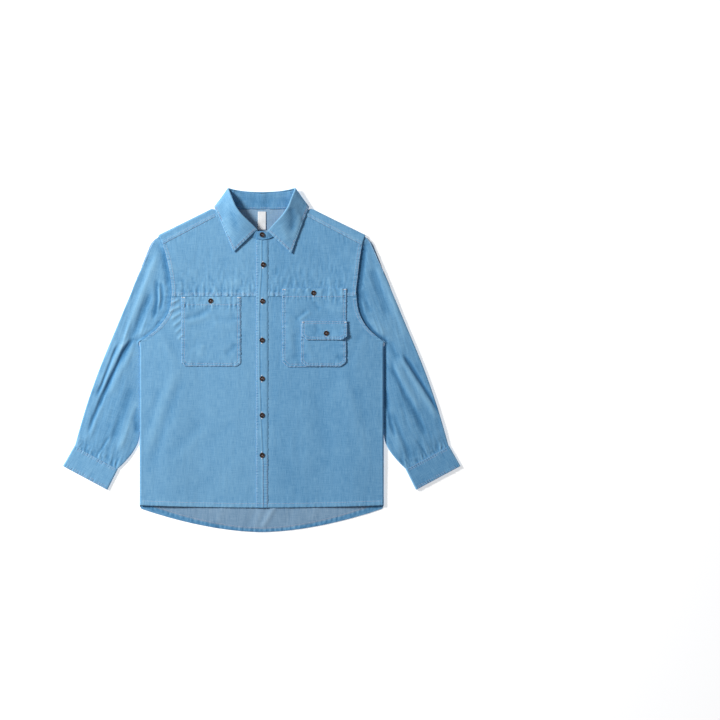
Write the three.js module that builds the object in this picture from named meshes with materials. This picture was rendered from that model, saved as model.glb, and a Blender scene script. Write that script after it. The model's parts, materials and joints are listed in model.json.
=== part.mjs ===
// A long-sleeved denim shirt laid flat on its back, front up. Millimetres, +Z up, +X to the right and
// +Y towards the collar as seen from above; the wearer's right side is on -X. Every piece of cloth is a
// wall made from one function for its outer face, and the pieces stand a small gap apart at the seams.
import * as THREE from 'three';

// Cloth.
const wall = 1.2;              // one layer of cloth, with its seam allowances evened out
const gap = 0.3;               // space between two pieces at a seam or between two layers
const lapGap = 0.45;           // space under a piece that lies on a soft panel

// Body.
const sideX = 305;             // half the width of the body at the side folds
const sideRoll = 6;            // how far in from the side the cloth starts to turn over
const sideHeight = 4.5;        // height of the side seam above the table
const underarmY = 46;          // where the side seam ends and the armhole starts
const chestSeamY = 159.4;      // seam between the upper and the lower front
const yokeSeamY = 244.4;       // seam between the yoke and the back
const frontHemSide = -361;     // front hem at the side seams
const frontHemMiddle = -368.6; // front hem at the placket
const backHemSide = -361;      // back hem at the side seams
const backHemMiddle = -429.5;  // lowest point of the curved back hem
const pleatX = 23.5;           // edges of the box pleat in the back

// Front placket and the closing.
const placketLeftX = -12.8;
const placketRightX = 18;
const frontSplitX = 10.3;      // where the two fronts meet under the placket
const neckFrontY = 299;        // neck seam at the middle of the front
const neckBackY = 376;         // neck seam at the middle of the back
const neckSideX = 114;         // neck seam at the front end of the shoulder
const neckSideY = 359;

// Height of the front above the table.
const frontRise = { middle: 5.5, side: 9.2, hemDrop: 1.3 };

// Armhole edges: half width of the body at each height, for the front (its two sides) and the back.
const armholes = [
  { y: 40, frontRight: 305, frontLeft: 305, back: 305 },
  { y: 46, frontRight: 303.5, frontLeft: 304.5, back: 304.5 },
  { y: 51, frontRight: 297, frontLeft: 298, back: 301.5 },
  { y: 80, frontRight: 260.3, frontLeft: 265.5, back: 289 },
  { y: 118, frontRight: 233.3, frontLeft: 243.8, back: 278 },
  { y: 165, frontRight: 225, frontLeft: 236.5, back: 269 },
  { y: 205, frontRight: 227.8, frontLeft: 240, back: 266.5 },
  { y: 259, frontRight: 238.5, frontLeft: 246.5, back: 264.8 },
  { y: 289, frontRight: 247.8, frontLeft: 252, back: 261 },
  { y: 312, frontRight: 257.5, frontLeft: 259.5, back: 258.5 },
];

// Sleeve outline of the right sleeve (mirrored for the left), from the armhole to the cuff.
const sleeveOuter = [
  { x: 250, y: 311 }, { x: 257.5, y: 308.5 }, { x: 264, y: 302.5 }, { x: 270, y: 294 },
  { x: 287.5, y: 255 }, { x: 320, y: 184 }, { x: 358, y: 94 }, { x: 404, y: -17 },
  { x: 433, y: -98 }, { x: 452, y: -160 }, { x: 467.5, y: -215.2 },
];
const sleeveInner = [
  { x: 292, y: 51 }, { x: 301, y: 53 }, { x: 309.6, y: 50.6 }, { x: 314.6, y: 42.7 }, { x: 313, y: 26 },
  { x: 308.6, y: -20 }, { x: 306.4, y: -90 }, { x: 306.2, y: -165 }, { x: 307.5, y: -200 },
  { x: 320, y: -227 }, { x: 341.8, y: -254 }, { x: 360.5, y: -272.2 },
];
const cuff = {
  outer: { x: 468.8, y: -215 }, inner: { x: 360, y: -273.3 },
  depth: 56.5, flare: 3, height: 6.9,
  overlapAt: 63, underlapAt: 38, buttonAt: 44,
};

// Collar: neck seam, roll line and outer edge of its right half, from the middle of the back (0) over
// the shoulder (4) to the front end (12). The left half mirrors it, a little longer at the point.
const collarLines = [
  { at: 0, nx: 0, ny: 377, nz: 2.9, rx: 0, ry: 420, rz: 7.6, fx: 0, fy: 360, fz: 0.65 },
  { at: 1, nx: 45, ny: 377.1, nz: 2.9, rx: 38, ry: 421.5, rz: 8.2, fx: 45, fy: 362, fz: 0.65 },
  { at: 2, nx: 80, ny: 377.6, nz: 3, rx: 66, ry: 425.5, rz: 9.5, fx: 82, fy: 368, fz: 0.65 },
  { at: 3, nx: 96, ny: 378.6, nz: 3.9, rx: 78, ry: 428.5, rz: 11.5, fx: 104, fy: 376.5, fz: 0.9 },
  { at: 4, nx: 101, ny: 378, nz: 6, rx: 82.8, ry: 427.5, rz: 14, fx: 117, fy: 384, fz: 5.6 },
  { at: 5, nx: 104, ny: 370, nz: 8.4, rx: 78, ry: 415, rz: 18, fx: 117, fy: 379, fz: 10.4 },
  { at: 6, nx: 103.5, ny: 358, nz: 9, rx: 72, ry: 400, rz: 20.5, fx: 110, fy: 363, fz: 11.2 },
  { at: 7, nx: 94, ny: 345.5, nz: 8.8, rx: 64, ry: 383, rz: 22, fx: 102, fy: 345, fz: 11.2 },
  { at: 8, nx: 77, ny: 333.8, nz: 8.6, rx: 51, ry: 365, rz: 21.5, fx: 93.5, fy: 325, fz: 11 },
  { at: 9, nx: 56, ny: 321.4, nz: 8.3, rx: 37, ry: 351, rz: 19.5, fx: 86, fy: 307, fz: 10.8 },
  { at: 10, nx: 35, ny: 310.8, nz: 8.1, rx: 25, ry: 339.5, rz: 17, fx: 79.5, fy: 291.5, fz: 10.6 },
  { at: 11, nx: 20, ny: 304.4, nz: 8, rx: 16, ry: 330.5, rz: 15, fx: 74.5, fy: 279.5, fz: 10.6 },
  { at: 12, nx: 12, ny: 302, nz: 8, rx: 10.8, ry: 325, rz: 13.8, fx: 70.3, fy: 269.8, fz: 11 },
];
const collarRoll = 2.4;        // radius of the roll at the top of the collar
const leftPoint = { x: 3.5, y: -4 };   // how far the left collar point lies beyond the mirrored right one

// Pieces on the fronts: left and right edge, top and bottom, corner cut, button.
const pockets = {
  pocket_right: { left: -200.5, right: -52.3, top: 158.9, bottom: -15.6, corner: 10, over: 0 },
  pocket_left: { left: 50.8, right: 211.8, top: 179.4, bottom: -17.4, corner: 15, over: 0 },
  coin_pocket_left: { left: 97.5, right: 211, top: 93, bottom: -15.4, corner: 14, over: 1 },
  pocket_flap_left: { left: 99.5, right: 215.5, top: 98.6, bottom: 50.6, corner: 13, over: 2 },
};
const label = { left: -9.5, right: 10.8, top: 371.5, bottom: 326, thickness: 0.6 };
const sleevePlacket = {
  top: { x: 386, y: -118 }, bottom: { x: 425, y: -235 }, width: 26, thickness: 1.05,
  button: { x: 407, y: -200 },
};

// Buttons.
const button = { radius: 6, height: 2, rim: 1.1, dish: 0.5 };
const frontButtons = [
  { name: 'collar', x: 1, y: 313.4 }, { name: 'front_1', x: 3.8, y: 238.6 },
  { name: 'front_2', x: 2, y: 147.6 }, { name: 'front_3', x: 1, y: 50.1 },
  { name: 'front_4', x: 1, y: -45.9 }, { name: 'front_5', x: 1, y: -137.4 },
  { name: 'front_6', x: 1, y: -237.1 },
];
const pocketButtons = [
  { name: 'pocket_right', x: -127.5, y: 148.1, on: 'pocket_right' },
  { name: 'pocket_left', x: 129.5, y: 167.9, on: 'pocket_left' },
  { name: 'flap_left', x: 161, y: 67.4, on: 'pocket_flap_left' },
];

// Largest folds of the right sleeve: ends, half width and height (minus for a trough).
const sleeveFolds = [
  { x0: 304, y0: 52, x1: 387, y1: -55, width: 16, rise: -1.4 },
  { x0: 387, y0: -55, x1: 441, y1: -210, width: 15, rise: -1.3 },
  { x0: 358, y0: 50, x1: 407, y1: -78, width: 17, rise: 1 },
  { x0: 254, y0: 282, x1: 366, y1: -24, width: 18, rise: 0.9 },
];

const clamp = (t, low = 0, high = 1) => Math.min(Math.max(t, low), high);
const mix = (a, b, t) => a + (b - a) * t;
const smooth = (t) => { const k = clamp(t); return k * k * (3 - 2 * k); };
const spaced = (count, from = 0, to = 1) =>
  Array.from({ length: count + 1 }, (_, i) => mix(from, to, i / count));

// Smooth curve through the rows of a table, by a named key column.
function lookup(table, key, column, at) {
  let i = 0;
  while (i < table.length - 2 && at > table[i + 1][key]) i += 1;
  const a = table[i], b = table[i + 1];
  const before = table[Math.max(i - 1, 0)], after = table[Math.min(i + 2, table.length - 1)];
  const span = b[key] - a[key], t = clamp((at - a[key]) / span);
  const slopeA = span * (b[column] - before[column]) / (b[key] - before[key]);
  const slopeB = span * (after[column] - a[column]) / (after[key] - a[key]);
  const t2 = t * t, t3 = t2 * t;
  return (2 * t3 - 3 * t2 + 1) * a[column] + (t3 - 2 * t2 + t) * slopeA
    + (3 * t2 - 2 * t3) * b[column] + (t3 - t2) * slopeB;
}

// Adds to each row of an outline the share of its length at that row.
function measured(rows) {
  let length = 0;
  const out = rows.map((row, i) => {
    if (i > 0) length += Math.hypot(row.x - rows[i - 1].x, row.y - rows[i - 1].y);
    return { ...row, share: length };
  });
  return out.map((row) => ({ ...row, share: row.share / length }));
}

// Distance of a point from a fold line, faded towards its ends, as a height.
function foldHeight(folds, x, y) {
  let rise = 0;
  for (const fold of folds) {
    const dx = fold.x1 - fold.x0, dy = fold.y1 - fold.y0;
    const along = ((x - fold.x0) * dx + (y - fold.y0) * dy) / (dx * dx + dy * dy);
    const away = ((x - fold.x0) * dy - (y - fold.y0) * dx) / Math.hypot(dx, dy);
    const fade = smooth((along + 0.08) / 0.25) * smooth((1.08 - along) / 0.25);
    rise += fold.rise * fade * Math.exp(-((away / fold.width) ** 2));
  }
  return rise;
}

const denim = new THREE.MeshStandardMaterial({ color: '#72a3cb', roughness: 0.9, metalness: 0 });
const horn = new THREE.MeshStandardMaterial({ color: '#4a3426', roughness: 0.4, metalness: 0 });
const labelCloth = new THREE.MeshStandardMaterial({ color: '#f1f2f2', roughness: 0.8, metalness: 0 });
const part = new THREE.Group();
part.name = 'denim_shirt';

function addMesh(name, material, points, triangles) {
  const geometry = new THREE.BufferGeometry();
  geometry.setAttribute('position', new THREE.Float32BufferAttribute(points.flat(), 3));
  geometry.setIndex(triangles);
  geometry.computeVertexNormals();
  const mesh = new THREE.Mesh(geometry, material.clone());
  mesh.name = name;
  part.add(mesh);
}

// A wall of cloth: its outer face is surface(u, v) at all us and vs, its inner face lies one thickness
// behind. `flip` turns the outer face over, `closed` joins the last u to the first, `centred` puts the
// surface in the middle of the wall, and `inward` gives the way to the inner face where it is known.
function addWall(name, material, us, vs, surface, options = {}) {
  const { thickness = wall, flip = false, closed = false, centred = false, inward = null } = options;
  const sign = flip ? -1 : 1, step = 1e-4;
  const front = centred ? thickness / 2 : 0, back = front - thickness;
  const at = (u, v) => new THREE.Vector3(...surface(closed ? (u + 1) % 1 : u, v));
  const outer = [], inner = [];
  for (const u of us) {
    for (const v of vs) {
      const u0 = closed ? u - step : Math.max(u - step, us[0]);
      const u1 = closed ? u + step : Math.min(u + step, us[us.length - 1]);
      const v0 = Math.max(v - step, vs[0]), v1 = Math.min(v + step, vs[vs.length - 1]);
      const normal = at(u1, v).sub(at(u0, v)).cross(at(u, v1).sub(at(u, v0))).normalize();
      if (inward) normal.set(...inward(u, v)).multiplyScalar(-sign);
      const p = at(u, v);
      outer.push(p.clone().addScaledVector(normal, sign * front).toArray());
      inner.push(p.clone().addScaledVector(normal, sign * back).toArray());
    }
  }
  const rows = vs.length, columns = us.length, count = rows * columns;
  const triangles = [];
  const quad = (a, b, c, d) => (flip ? triangles.push(a, c, b, a, d, c) : triangles.push(a, b, c, a, c, d));
  const out = (i, j) => (i % columns) * rows + j;
  const inn = (i, j) => count + out(i, j);
  const last = closed ? columns : columns - 1;
  for (let i = 0; i < last; i += 1) {
    for (let j = 0; j < rows - 1; j += 1) {
      quad(out(i, j), out(i + 1, j), out(i + 1, j + 1), out(i, j + 1));
      quad(inn(i, j), inn(i, j + 1), inn(i + 1, j + 1), inn(i + 1, j));
    }
    quad(out(i + 1, 0), out(i, 0), inn(i, 0), inn(i + 1, 0));
    quad(out(i, rows - 1), out(i + 1, rows - 1), inn(i + 1, rows - 1), inn(i, rows - 1));
  }
  for (let j = 0; j < rows - 1 && !closed; j += 1) {
    quad(out(0, j), out(0, j + 1), inn(0, j + 1), inn(0, j));
    quad(out(columns - 1, j + 1), out(columns - 1, j), inn(columns - 1, j), inn(columns - 1, j + 1));
  }
  addMesh(name, material, [...outer, ...inner], triangles);
}

// Height of the outer face of the front, before seams.
function frontHeight(x, y) {
  const sides = smooth((Math.abs(x) - 140) / 100);
  const neck = 0.8 * smooth((y - 200) / 130);
  const hem = smooth((-y - 240) / 110);
  const rise = (frontRise.side - frontRise.middle) * (1 - (1 - sides) * (1 - neck));
  return frontRise.middle + rise - frontRise.hemDrop * hem;
}
// The upper front stands a little higher along the chest seam.
const seamLip = (y) => (y > chestSeamY ? 0.5 * smooth((chestSeamY + 30 - y) / 24) : 0);
// What lies across the seam rises to it a little before.
const lapLip = (y) => (y > chestSeamY ? seamLip(y) : 0.5 * clamp((y - chestSeamY + 8) / 8));
const frontTop = (x, y) => frontHeight(x, y) + seamLip(y);

const sideTurn = (y) => smooth((underarmY - y) / 7);   // 1 where the side is sewn up, 0 in the armhole
const neckCurve = (x) => neckFrontY + (neckSideY - neckFrontY) * (Math.abs(x) / neckSideX) ** 1.5;
const frontEdge = (side, y) => (y < 40 ? sideX : lookup(armholes, 'y', side, y));
const backEdge = (y) => (y < 40 ? sideX : lookup(armholes, 'y', 'back', y));
const frontHem = (x) => mix(frontHemMiddle, frontHemSide, (Math.abs(x) / sideX) ** 2);
const backHem = (x) => mix(backHemMiddle, backHemSide, (Math.abs(x) / sideX) ** 1.75);

// Shoulder fold line and the yoke seam on the front.
const shoulderY = (x) => 313 + 0.497 * (257.5 - Math.abs(x));
const foldY = (x) => {
  const away = Math.abs(x);
  return mix(376.5, shoulderY(x), smooth((away - 117) / 12));
};
const frontYokeY = (x) => mix(neckSideY, 288.6, (Math.abs(x) - neckSideX) / (247.8 - neckSideX));

// Fronts. u runs from the middle to the side, v from the bottom to the top; the last stations of u turn
// over the side fold.
const turnStart = 0.9;
const frontStations = [0, 0.12, 0.25, 0.4, 0.55, 0.7, 0.82, turnStart, 0.935, 0.97, 1];
function frontPoint(sign, side, innerX, u, y) {
  const edge = frontEdge(side, y);
  const turn = clamp((u - turnStart) / (1 - turnStart)) * Math.PI / 2;
  const reach = edge - sideRoll * (1 - Math.sin(turn));
  const x = u <= turnStart ? mix(innerX, sign * (edge - sideRoll), u / turnStart) : sign * reach;
  const top = frontTop(x, y);
  const drop = (top - sideHeight - gap / 2) * (1 - Math.cos(turn)) * sideTurn(y);
  return [x, y, top - drop];
}
const lowerRows = [0, 0.05, 0.2, 0.4, 0.6, 0.765, 0.776, 0.785, 0.797, 0.83, 0.87, 0.92, 0.96, 1];
const upperRows = [0, 0.06, 0.15, 0.3, 0.5, 0.7, 0.85, 1];
for (const half of [
  { word: 'right', sign: -1, side: 'frontRight', innerX: frontSplitX - gap },
  { word: 'left', sign: 1, side: 'frontLeft', innerX: frontSplitX },
]) {
  const flip = half.sign < 0;
  addWall(`front_lower_${half.word}`, denim, frontStations, lowerRows, (u, v) => {
    const [x] = frontPoint(half.sign, half.side, half.innerX, u, -300);
    return frontPoint(half.sign, half.side, half.innerX, u, mix(frontHem(x), chestSeamY - gap / 2, v));
  }, { flip });
  addWall(`front_upper_${half.word}`, denim, [0, 0.04, 0.08, 0.16, 0.27, 0.4, 0.55, 0.7, 0.85, 0.96, 1], upperRows, (u, v) => {
    let top = neckSideY;
    for (let pass = 0; pass < 8; pass += 1) {
      const topX = mix(half.innerX, half.sign * (frontEdge(half.side, top) - 0.4), u);
      top = (Math.abs(topX) < neckSideX ? neckCurve(topX) : frontYokeY(topX)) - gap;
    }
    const y = mix(chestSeamY + gap / 2, top, v);
    const x = mix(half.innerX, half.sign * (frontEdge(half.side, y) - 0.4), u);
    return [x, y, frontTop(x, y)];
  }, { flip });
}

// Back: its outer face lies on the table, with a box pleat down the middle.
const backStations = [0, 0.015, 0.03, 0.045, 0.12, 0.25, 0.37, 0.44, 0.47];
const backUs = [...backStations, 0.5, ...backStations.map((u) => 1 - u).reverse()];
const pleatStep = (x, y) => {
  const deep = (at) => Math.exp(-(((x - at) / 5) ** 2));
  return 0.9 * (deep(-pleatX) * smooth((y + 180) / 160) + 0.5 * deep(pleatX) * smooth((y - 60) / 120));
};
function backPoint(u, v) {
  const across = Math.abs(2 * u - 1), sign = u < 0.5 ? -1 : 1;
  const hemX = across * sideX;
  const y = mix(backHem(hemX), yokeSeamY - gap / 2, v);
  const edge = backEdge(y);
  const start = 1 - 0.09;
  const turn = clamp((across - start) / (1 - start)) * Math.PI / 2;
  const x = across <= start ? (edge - sideRoll) * across / start : edge - sideRoll * (1 - Math.sin(turn));
  const rise = (sideHeight - gap / 2) * (1 - Math.cos(turn)) * sideTurn(y);
  return [sign * x, y, rise + pleatStep(sign * x, y)];
}
const backRows = [0, 0.04, 0.15, 0.3, 0.45, 0.58, 0.66, 0.683, 0.692, 0.7, 0.706, 0.72, 0.77, 0.85, 0.93, 1];
addWall('back', denim, backUs, backRows, backPoint, { flip: true });

// Yoke: from the seam across the back up to the neck, and at the shoulders over the fold down to the
// front seam. v runs 0 to 1 on the back, 1 to 2 over the fold and 2 to 3 down the front.
const yokeRaise = (x, y) => 1.8 * smooth((y - 338) / 16) * smooth((140 - Math.abs(x)) / 22);
const neckTurn = (x) => smooth((Math.abs(x) - 103) / 11);
function yokePoint(across, rowShare) {
  const base = across * 257.5, away = Math.abs(base), sign = across < 0 ? -1 : 1;
  const turned = neckTurn(base);
  const fold = mix(392, foldY(base), smooth((away - 95) / 8)), roll = 6;
  const last = mix((neckBackY - yokeSeamY) / (fold - roll - yokeSeamY), 3, turned);
  const v = rowShare * last;
  const side = sign < 0 ? 'frontRight' : 'frontLeft';
  const outward = smooth((away - 170) / 87);
  const place = (y, onFront) => {
    const edge = onFront ? frontEdge(side, y) : backEdge(y);
    return base + sign * (edge - 257.5 - (onFront ? 0.4 : 0)) * outward;
  };
  if (v <= 1) {
    const y = mix(yokeSeamY + gap / 2, fold - roll, v);
    const x = place(y, false);
    return [x, y, yokeRaise(x, y)];
  }
  const low = yokeRaise(base, fold - roll), high = frontHeight(base, fold - roll);
  if (v <= 2) {
    const angle = (v - 1.5) * Math.PI;
    const y = fold - roll * (1 - Math.cos(angle));
    const x = mix(place(y, false), place(y, true), v - 1);
    return [x, y, mix(low, high, (1 + Math.sin(angle)) / 2)];
  }
  let end = frontYokeY(Math.max(away, neckSideX));
  for (let pass = 0; pass < 8; pass += 1) {
    end = frontYokeY(Math.max(Math.abs(place(end, true)), neckSideX));
  }
  const y = mix(fold - roll, end, v - 2);
  const x = place(y, true);
  return [x, y, frontHeight(x, y)];
}
const yokeHalf = [0.405, 0.412, 0.419, 0.425, 0.431, 0.437, 0.446, 0.46, 0.5, 0.6, 0.7, 0.8, 0.9, 1];
const yokeAcross = [...yokeHalf.map((a) => -a).reverse(), -0.3, -0.15, 0, 0.15, 0.3, ...yokeHalf];
const yokeRows = [0, 0.12, 0.24, 1 / 3, 0.4, 0.46, 0.5, 0.54, 0.6, 2 / 3, 0.83, 1];
addWall('yoke', denim, yokeAcross, yokeRows, yokePoint, { flip: true });

// Placket: lies over the edges of both fronts.
const placketHeight = (x, y) => frontHeight(x, y) + lapLip(y) + wall + lapGap;
addWall('placket', denim, spaced(4), [0, 0.1, 0.3, 0.5, 0.7, 0.779, 0.791, 0.86, 0.93, 1], (u, v) => {
  const x = mix(placketLeftX, placketRightX, u);
  const y = mix(frontHem(x), neckFrontY - gap, v);
  return [x, y, placketHeight(x, y)];
});

// Pockets and the flap, one lying on another where they overlap.
function patchHeight(name, x, y) {
  const patch = pockets[name];
  const layers = (patch.over + 1) * (wall + lapGap);
  const lifted = name === 'pocket_flap_left'
    ? 3 * smooth((x - 175) / 40) * smooth((85 - y) / 35) : 0;
  return frontHeight(x, y) + (patch.top > chestSeamY ? lapLip(y) : 0) + layers + lifted;
}
for (const [name, patch] of Object.entries(pockets)) {
  const middle = (patch.left + patch.right) / 2, half = (patch.right - patch.left) / 2;
  const edge = patch.corner / (2 * half);
  const us = [0, edge / 2, edge, 0.25, 0.5, 0.75, 1 - edge, 1 - edge / 2, 1];
  const bottomAt = (x) =>
    patch.bottom + patch.corner * 0.8 * clamp((Math.abs(x - middle) - half + patch.corner) / patch.corner);
  const seamRow = patch.top > chestSeamY ? [0.858, 0.898, 0.94] : [];
  addWall(name, denim, us, [0, 0.12, 0.4, 0.7, ...seamRow, 1], (u, v) => {
    const x = mix(patch.left, patch.right, u);
    const y = mix(bottomAt(x), patch.top, v);
    return [x, y, patchHeight(name, x, y)];
  });
}

// Collar: a stand from the neck seam to the roll line and a fall from there to the outer edge. The two
// are tangent to a small roll around the roll line.
function collarFrame(c) {
  const at = clamp(Math.abs(c), 0, 12), sign = c < 0 ? -1 : 1;
  const read = (letter) => new THREE.Vector3(
    sign * lookup(collarLines, 'at', `${letter}x`, at),
    lookup(collarLines, 'at', `${letter}y`, at),
    lookup(collarLines, 'at', `${letter}z`, at));
  const neck = read('n'), roll = read('r'), fall = read('f');
  const shift = sign > 0 ? smooth((at - 5) / 7) : 0;
  fall.x += leftPoint.x * shift;
  fall.y += leftPoint.y * shift;
  roll.x += leftPoint.x * shift;
  roll.y += leftPoint.y * shift;
  const over = 0.75 * smooth((at - 8) / 3) * sign;
  neck.z += over;
  roll.z += over;
  const toNeck = neck.clone().sub(roll).normalize(), toFall = fall.clone().sub(roll).normalize();
  const out = toNeck.clone().add(toFall).normalize().negate();
  const across = toFall.clone().addScaledVector(out, -toFall.dot(out)).normalize();
  const centre = roll.clone().addScaledVector(out, -collarRoll);
  const tangent = (point, side) => {
    const away = point.clone().sub(centre);
    const angle = Math.atan2(away.dot(across), away.dot(out));
    return angle - side * Math.acos(collarRoll / away.length());
  };
  const onRoll = (angle) => centre.clone()
    .addScaledVector(out, collarRoll * Math.cos(angle))
    .addScaledVector(across, collarRoll * Math.sin(angle));
  return { neck, fall, onRoll, neckAngle: tangent(neck, -1), fallAngle: tangent(fall, 1), at };
}
const rollShare = 0.22;
function fallPoint(c, v) {
  const frame = collarFrame(c);
  const start = frame.neckAngle + 1.5 / collarRoll;
  if (v <= rollShare) return frame.onRoll(mix(start, frame.fallAngle, v / rollShare)).toArray();
  const leg = (v - rollShare) / (1 - rollShare);
  const top = frame.onRoll(frame.fallAngle);
  const hug = mix(2.2, 1, smooth((frame.at - 2.5) / 2));
  const z = frame.fall.z + (top.z - frame.fall.z) * (1 - leg) ** hug;
  return [mix(top.x, frame.fall.x, leg), mix(top.y, frame.fall.y, leg), z];
}
const collarStations = [0, 0.5, 1, 1.5, 2, 2.6, 3, 3.4, 3.7, 4, 4.3, 4.6, 5, 5.5, 6, 7, 8, 9, 10, 11, 12];
const around = [...collarStations.slice(1).map((c) => -c).reverse(), ...collarStations];
const fallRows = [0, 0.055, 0.11, 0.165, rollShare, 0.4, 0.6, 0.8, 1];
addWall('collar', denim, around, fallRows, fallPoint, { centred: true, flip: true });

// Stand: past the collar ends each front end carries a tab; the left tab lies on the right one.
const tabEnd = 12.3;
function standPoint(c, v) {
  const frame = collarFrame(c), sign = c < 0 ? -1 : 1;
  const top = frame.onRoll(frame.neckAngle), low = frame.neck;
  const up = v * (1 - 3.8 / top.distanceTo(low));
  let point = [mix(low.x, top.x, up), mix(low.y, top.y, up), mix(low.z, top.z, up)];
  const past = Math.abs(c) - 12;
  if (past > 0) {
    const endX = sign > 0 ? -tabEnd : tabEnd;
    const round = 4 * past ** 3 * (v - 0.5) * 2;
    const x = mix(point[0], endX, past);
    const y = mix(neckCurve(x) + 0.7, mix(top.y, 322.4, past), v) - round;
    point = [x, mix(point[1], y, Math.min(past * 3, 1)), point[2] - 0.4 * v * past];
  }
  return point;
}
const standStations = [...collarStations, 12.3, 12.6, 13];
const standAround = [...standStations.slice(1).map((c) => -c).reverse(), ...standStations];
addWall('collar_stand', denim, standAround, spaced(4), standPoint, { centred: true });

// Blank neck label on the inside of the yoke.
addWall('neck_label', labelCloth, spaced(2), spaced(6), (u, v) => {
  const x = mix(label.left, label.right, u), y = mix(label.bottom, label.top, v);
  return [x, y, yokeRaise(x, y) + wall + gap + label.thickness + 0.1 + 0.6 * (1 - v) ** 2];
}, { thickness: label.thickness });

// Sleeves: flattened tubes between the armhole and the cuff seam.
const outerRows = measured(sleeveOuter), innerRows = measured(sleeveInner);
const along = (rows, share) => ({ x: lookup(rows, 'share', 'x', share), y: lookup(rows, 'share', 'y', share) });
// Armhole edge of one layer set back into the body, from the shoulder (0) to the underarm (1).
function armholeLine(column, inset) {
  const points = spaced(60, 0, 1).map((t) => {
    const y = mix(308, 53, t);
    return { x: lookup(armholes, 'y', column, y), y };
  });
  const line = points.map((point, i) => {
    const a = points[Math.max(i - 1, 0)], b = points[Math.min(i + 1, points.length - 1)];
    const length = Math.hypot(b.x - a.x, b.y - a.y);
    const depth = inset * smooth(i / 2) * mix(1, 0.5, smooth((i - 45) / 15));
    return { x: point.x + depth * (b.y - a.y) / length, y: point.y - depth * (b.x - a.x) / length };
  });
  line[0] = { ...sleeveOuter[0] };
  line[line.length - 1] = { ...sleeveInner[0] };
  return measured(line);
}
function bump(x, y, at, radius) {
  return smooth(1.35 - Math.hypot(x - at.x, y - at.y) / radius);
}
function placketPlace(x, y) {
  const { top, bottom } = sleevePlacket;
  const dx = bottom.x - top.x, dy = bottom.y - top.y, length = Math.hypot(dx, dy);
  return {
    down: ((x - top.x) * dx + (y - top.y) * dy) / length,
    away: Math.abs((x - top.x) * dy - (y - top.y) * dx) / length,
    length,
  };
}
const buttonLift = button.height + gap;
const sleeveUnder = (x, y) => {
  const place = placketPlace(x, y);
  const strip = smooth((sleevePlacket.width / 2 + 45 - place.away) / 30) * smooth((place.down + 45) / 30);
  return (sleevePlacket.thickness + gap) * strip + buttonLift * bump(x, y, sleevePlacket.button, 46);
};
const cuffPlaces = (sign) => {
  const dx = cuff.inner.x - cuff.outer.x, dy = cuff.inner.y - cuff.outer.y;
  const width = Math.hypot(dx, dy);
  const across = { x: dx / width, y: dy / width }, down = { x: -dy / width, y: dx / width };
  const place = (a, b) => {
    const spread = (a / width - 0.5) * cuff.flare * b / cuff.depth;
    return [
      sign * (cuff.outer.x + across.x * (a + spread) + down.x * b),
      cuff.outer.y + across.y * (a + spread) + down.y * b,
    ];
  };
  return { width, place };
};
const foldShare = 0.14;
// A flattened loop: q runs 0 to 1 over the top from the outer to the inner fold, then 1 to 2 underneath.
function loopStation(q) {
  const onTop = q <= 1, w = onTop ? q : 2 - q;
  if (w < foldShare) return { near: 0, angle: (w / foldShare) * Math.PI / 2, onTop };
  if (w > 1 - foldShare) return { near: 1, angle: ((1 - w) / foldShare) * Math.PI / 2, onTop };
  return { middle: (w - foldShare) / (1 - 2 * foldShare), onTop };
}
function sleevePoint(sign, lines, u, l) {
  const station = loopStation(2 * u);
  const rows = station.onTop ? lines.front : lines.back;
  const outer = along(outerRows, l), inner = along(innerRows, l);
  const plan = (s) => {
    const edge = along(rows, s);
    const curved = 1 - smooth(l / mix(0.42, 0.09, smooth((s - 0.55) / 0.3)));
    const read = (k) => mix(outer[k], inner[k], s)
      + curved * (edge[k] - mix(sleeveOuter[0][k], sleeveInner[0][k], s));
    return { x: read('x'), y: read('y') };
  };
  const width = Math.hypot(outer.x - inner.x, outer.y - inner.y);
  const heights = (x, y) => {
    const besideBody = (1 - smooth((x - 306) / 45)) * smooth((80 - y) / 60);
    const inFront = (1 - smooth((x - frontEdge(lines.side, y) - 4) / 30)) * smooth((y - 34) / 14);
    const onBack = 1 - smooth((x - backEdge(y) - 5) / 12);
    const own = 6.1 - 2 * besideBody + foldHeight(sleeveFolds, x, y) * (1 - besideBody)
      + 0.9 * bump(x, y, sleevePlacket.button, 60);
    const tucked = frontHeight(x, y) - wall - gap - 0.1;
    const low = 1.55 * onBack * smooth((y - 36) / 10) + sleeveUnder(x, y);
    return { high: mix(mix(own, cuff.height, smooth((l - 0.93) / 0.07)), tucked, inFront), low };
  };
  if (station.middle !== undefined) {
    const roll = 3 / width;
    const at = plan(mix(roll, 1 - roll, station.middle));
    const { high, low } = heights(at.x, at.y);
    return [sign * at.x, at.y, station.onTop ? high : low];
  }
  const edge = plan(station.near);
  const bounds = heights(edge.x, edge.y);
  const half = (bounds.high - bounds.low) / 2;
  const reach = Math.min(half * 1.05, 3) * (1 - Math.cos(station.angle)) / width;
  const at = plan(station.near === 0 ? reach : 1 - reach);
  const rise = half * Math.sin(station.angle) * (station.onTop ? 1 : -1);
  return [sign * at.x, at.y, (bounds.high + bounds.low) / 2 + rise];
}
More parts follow.
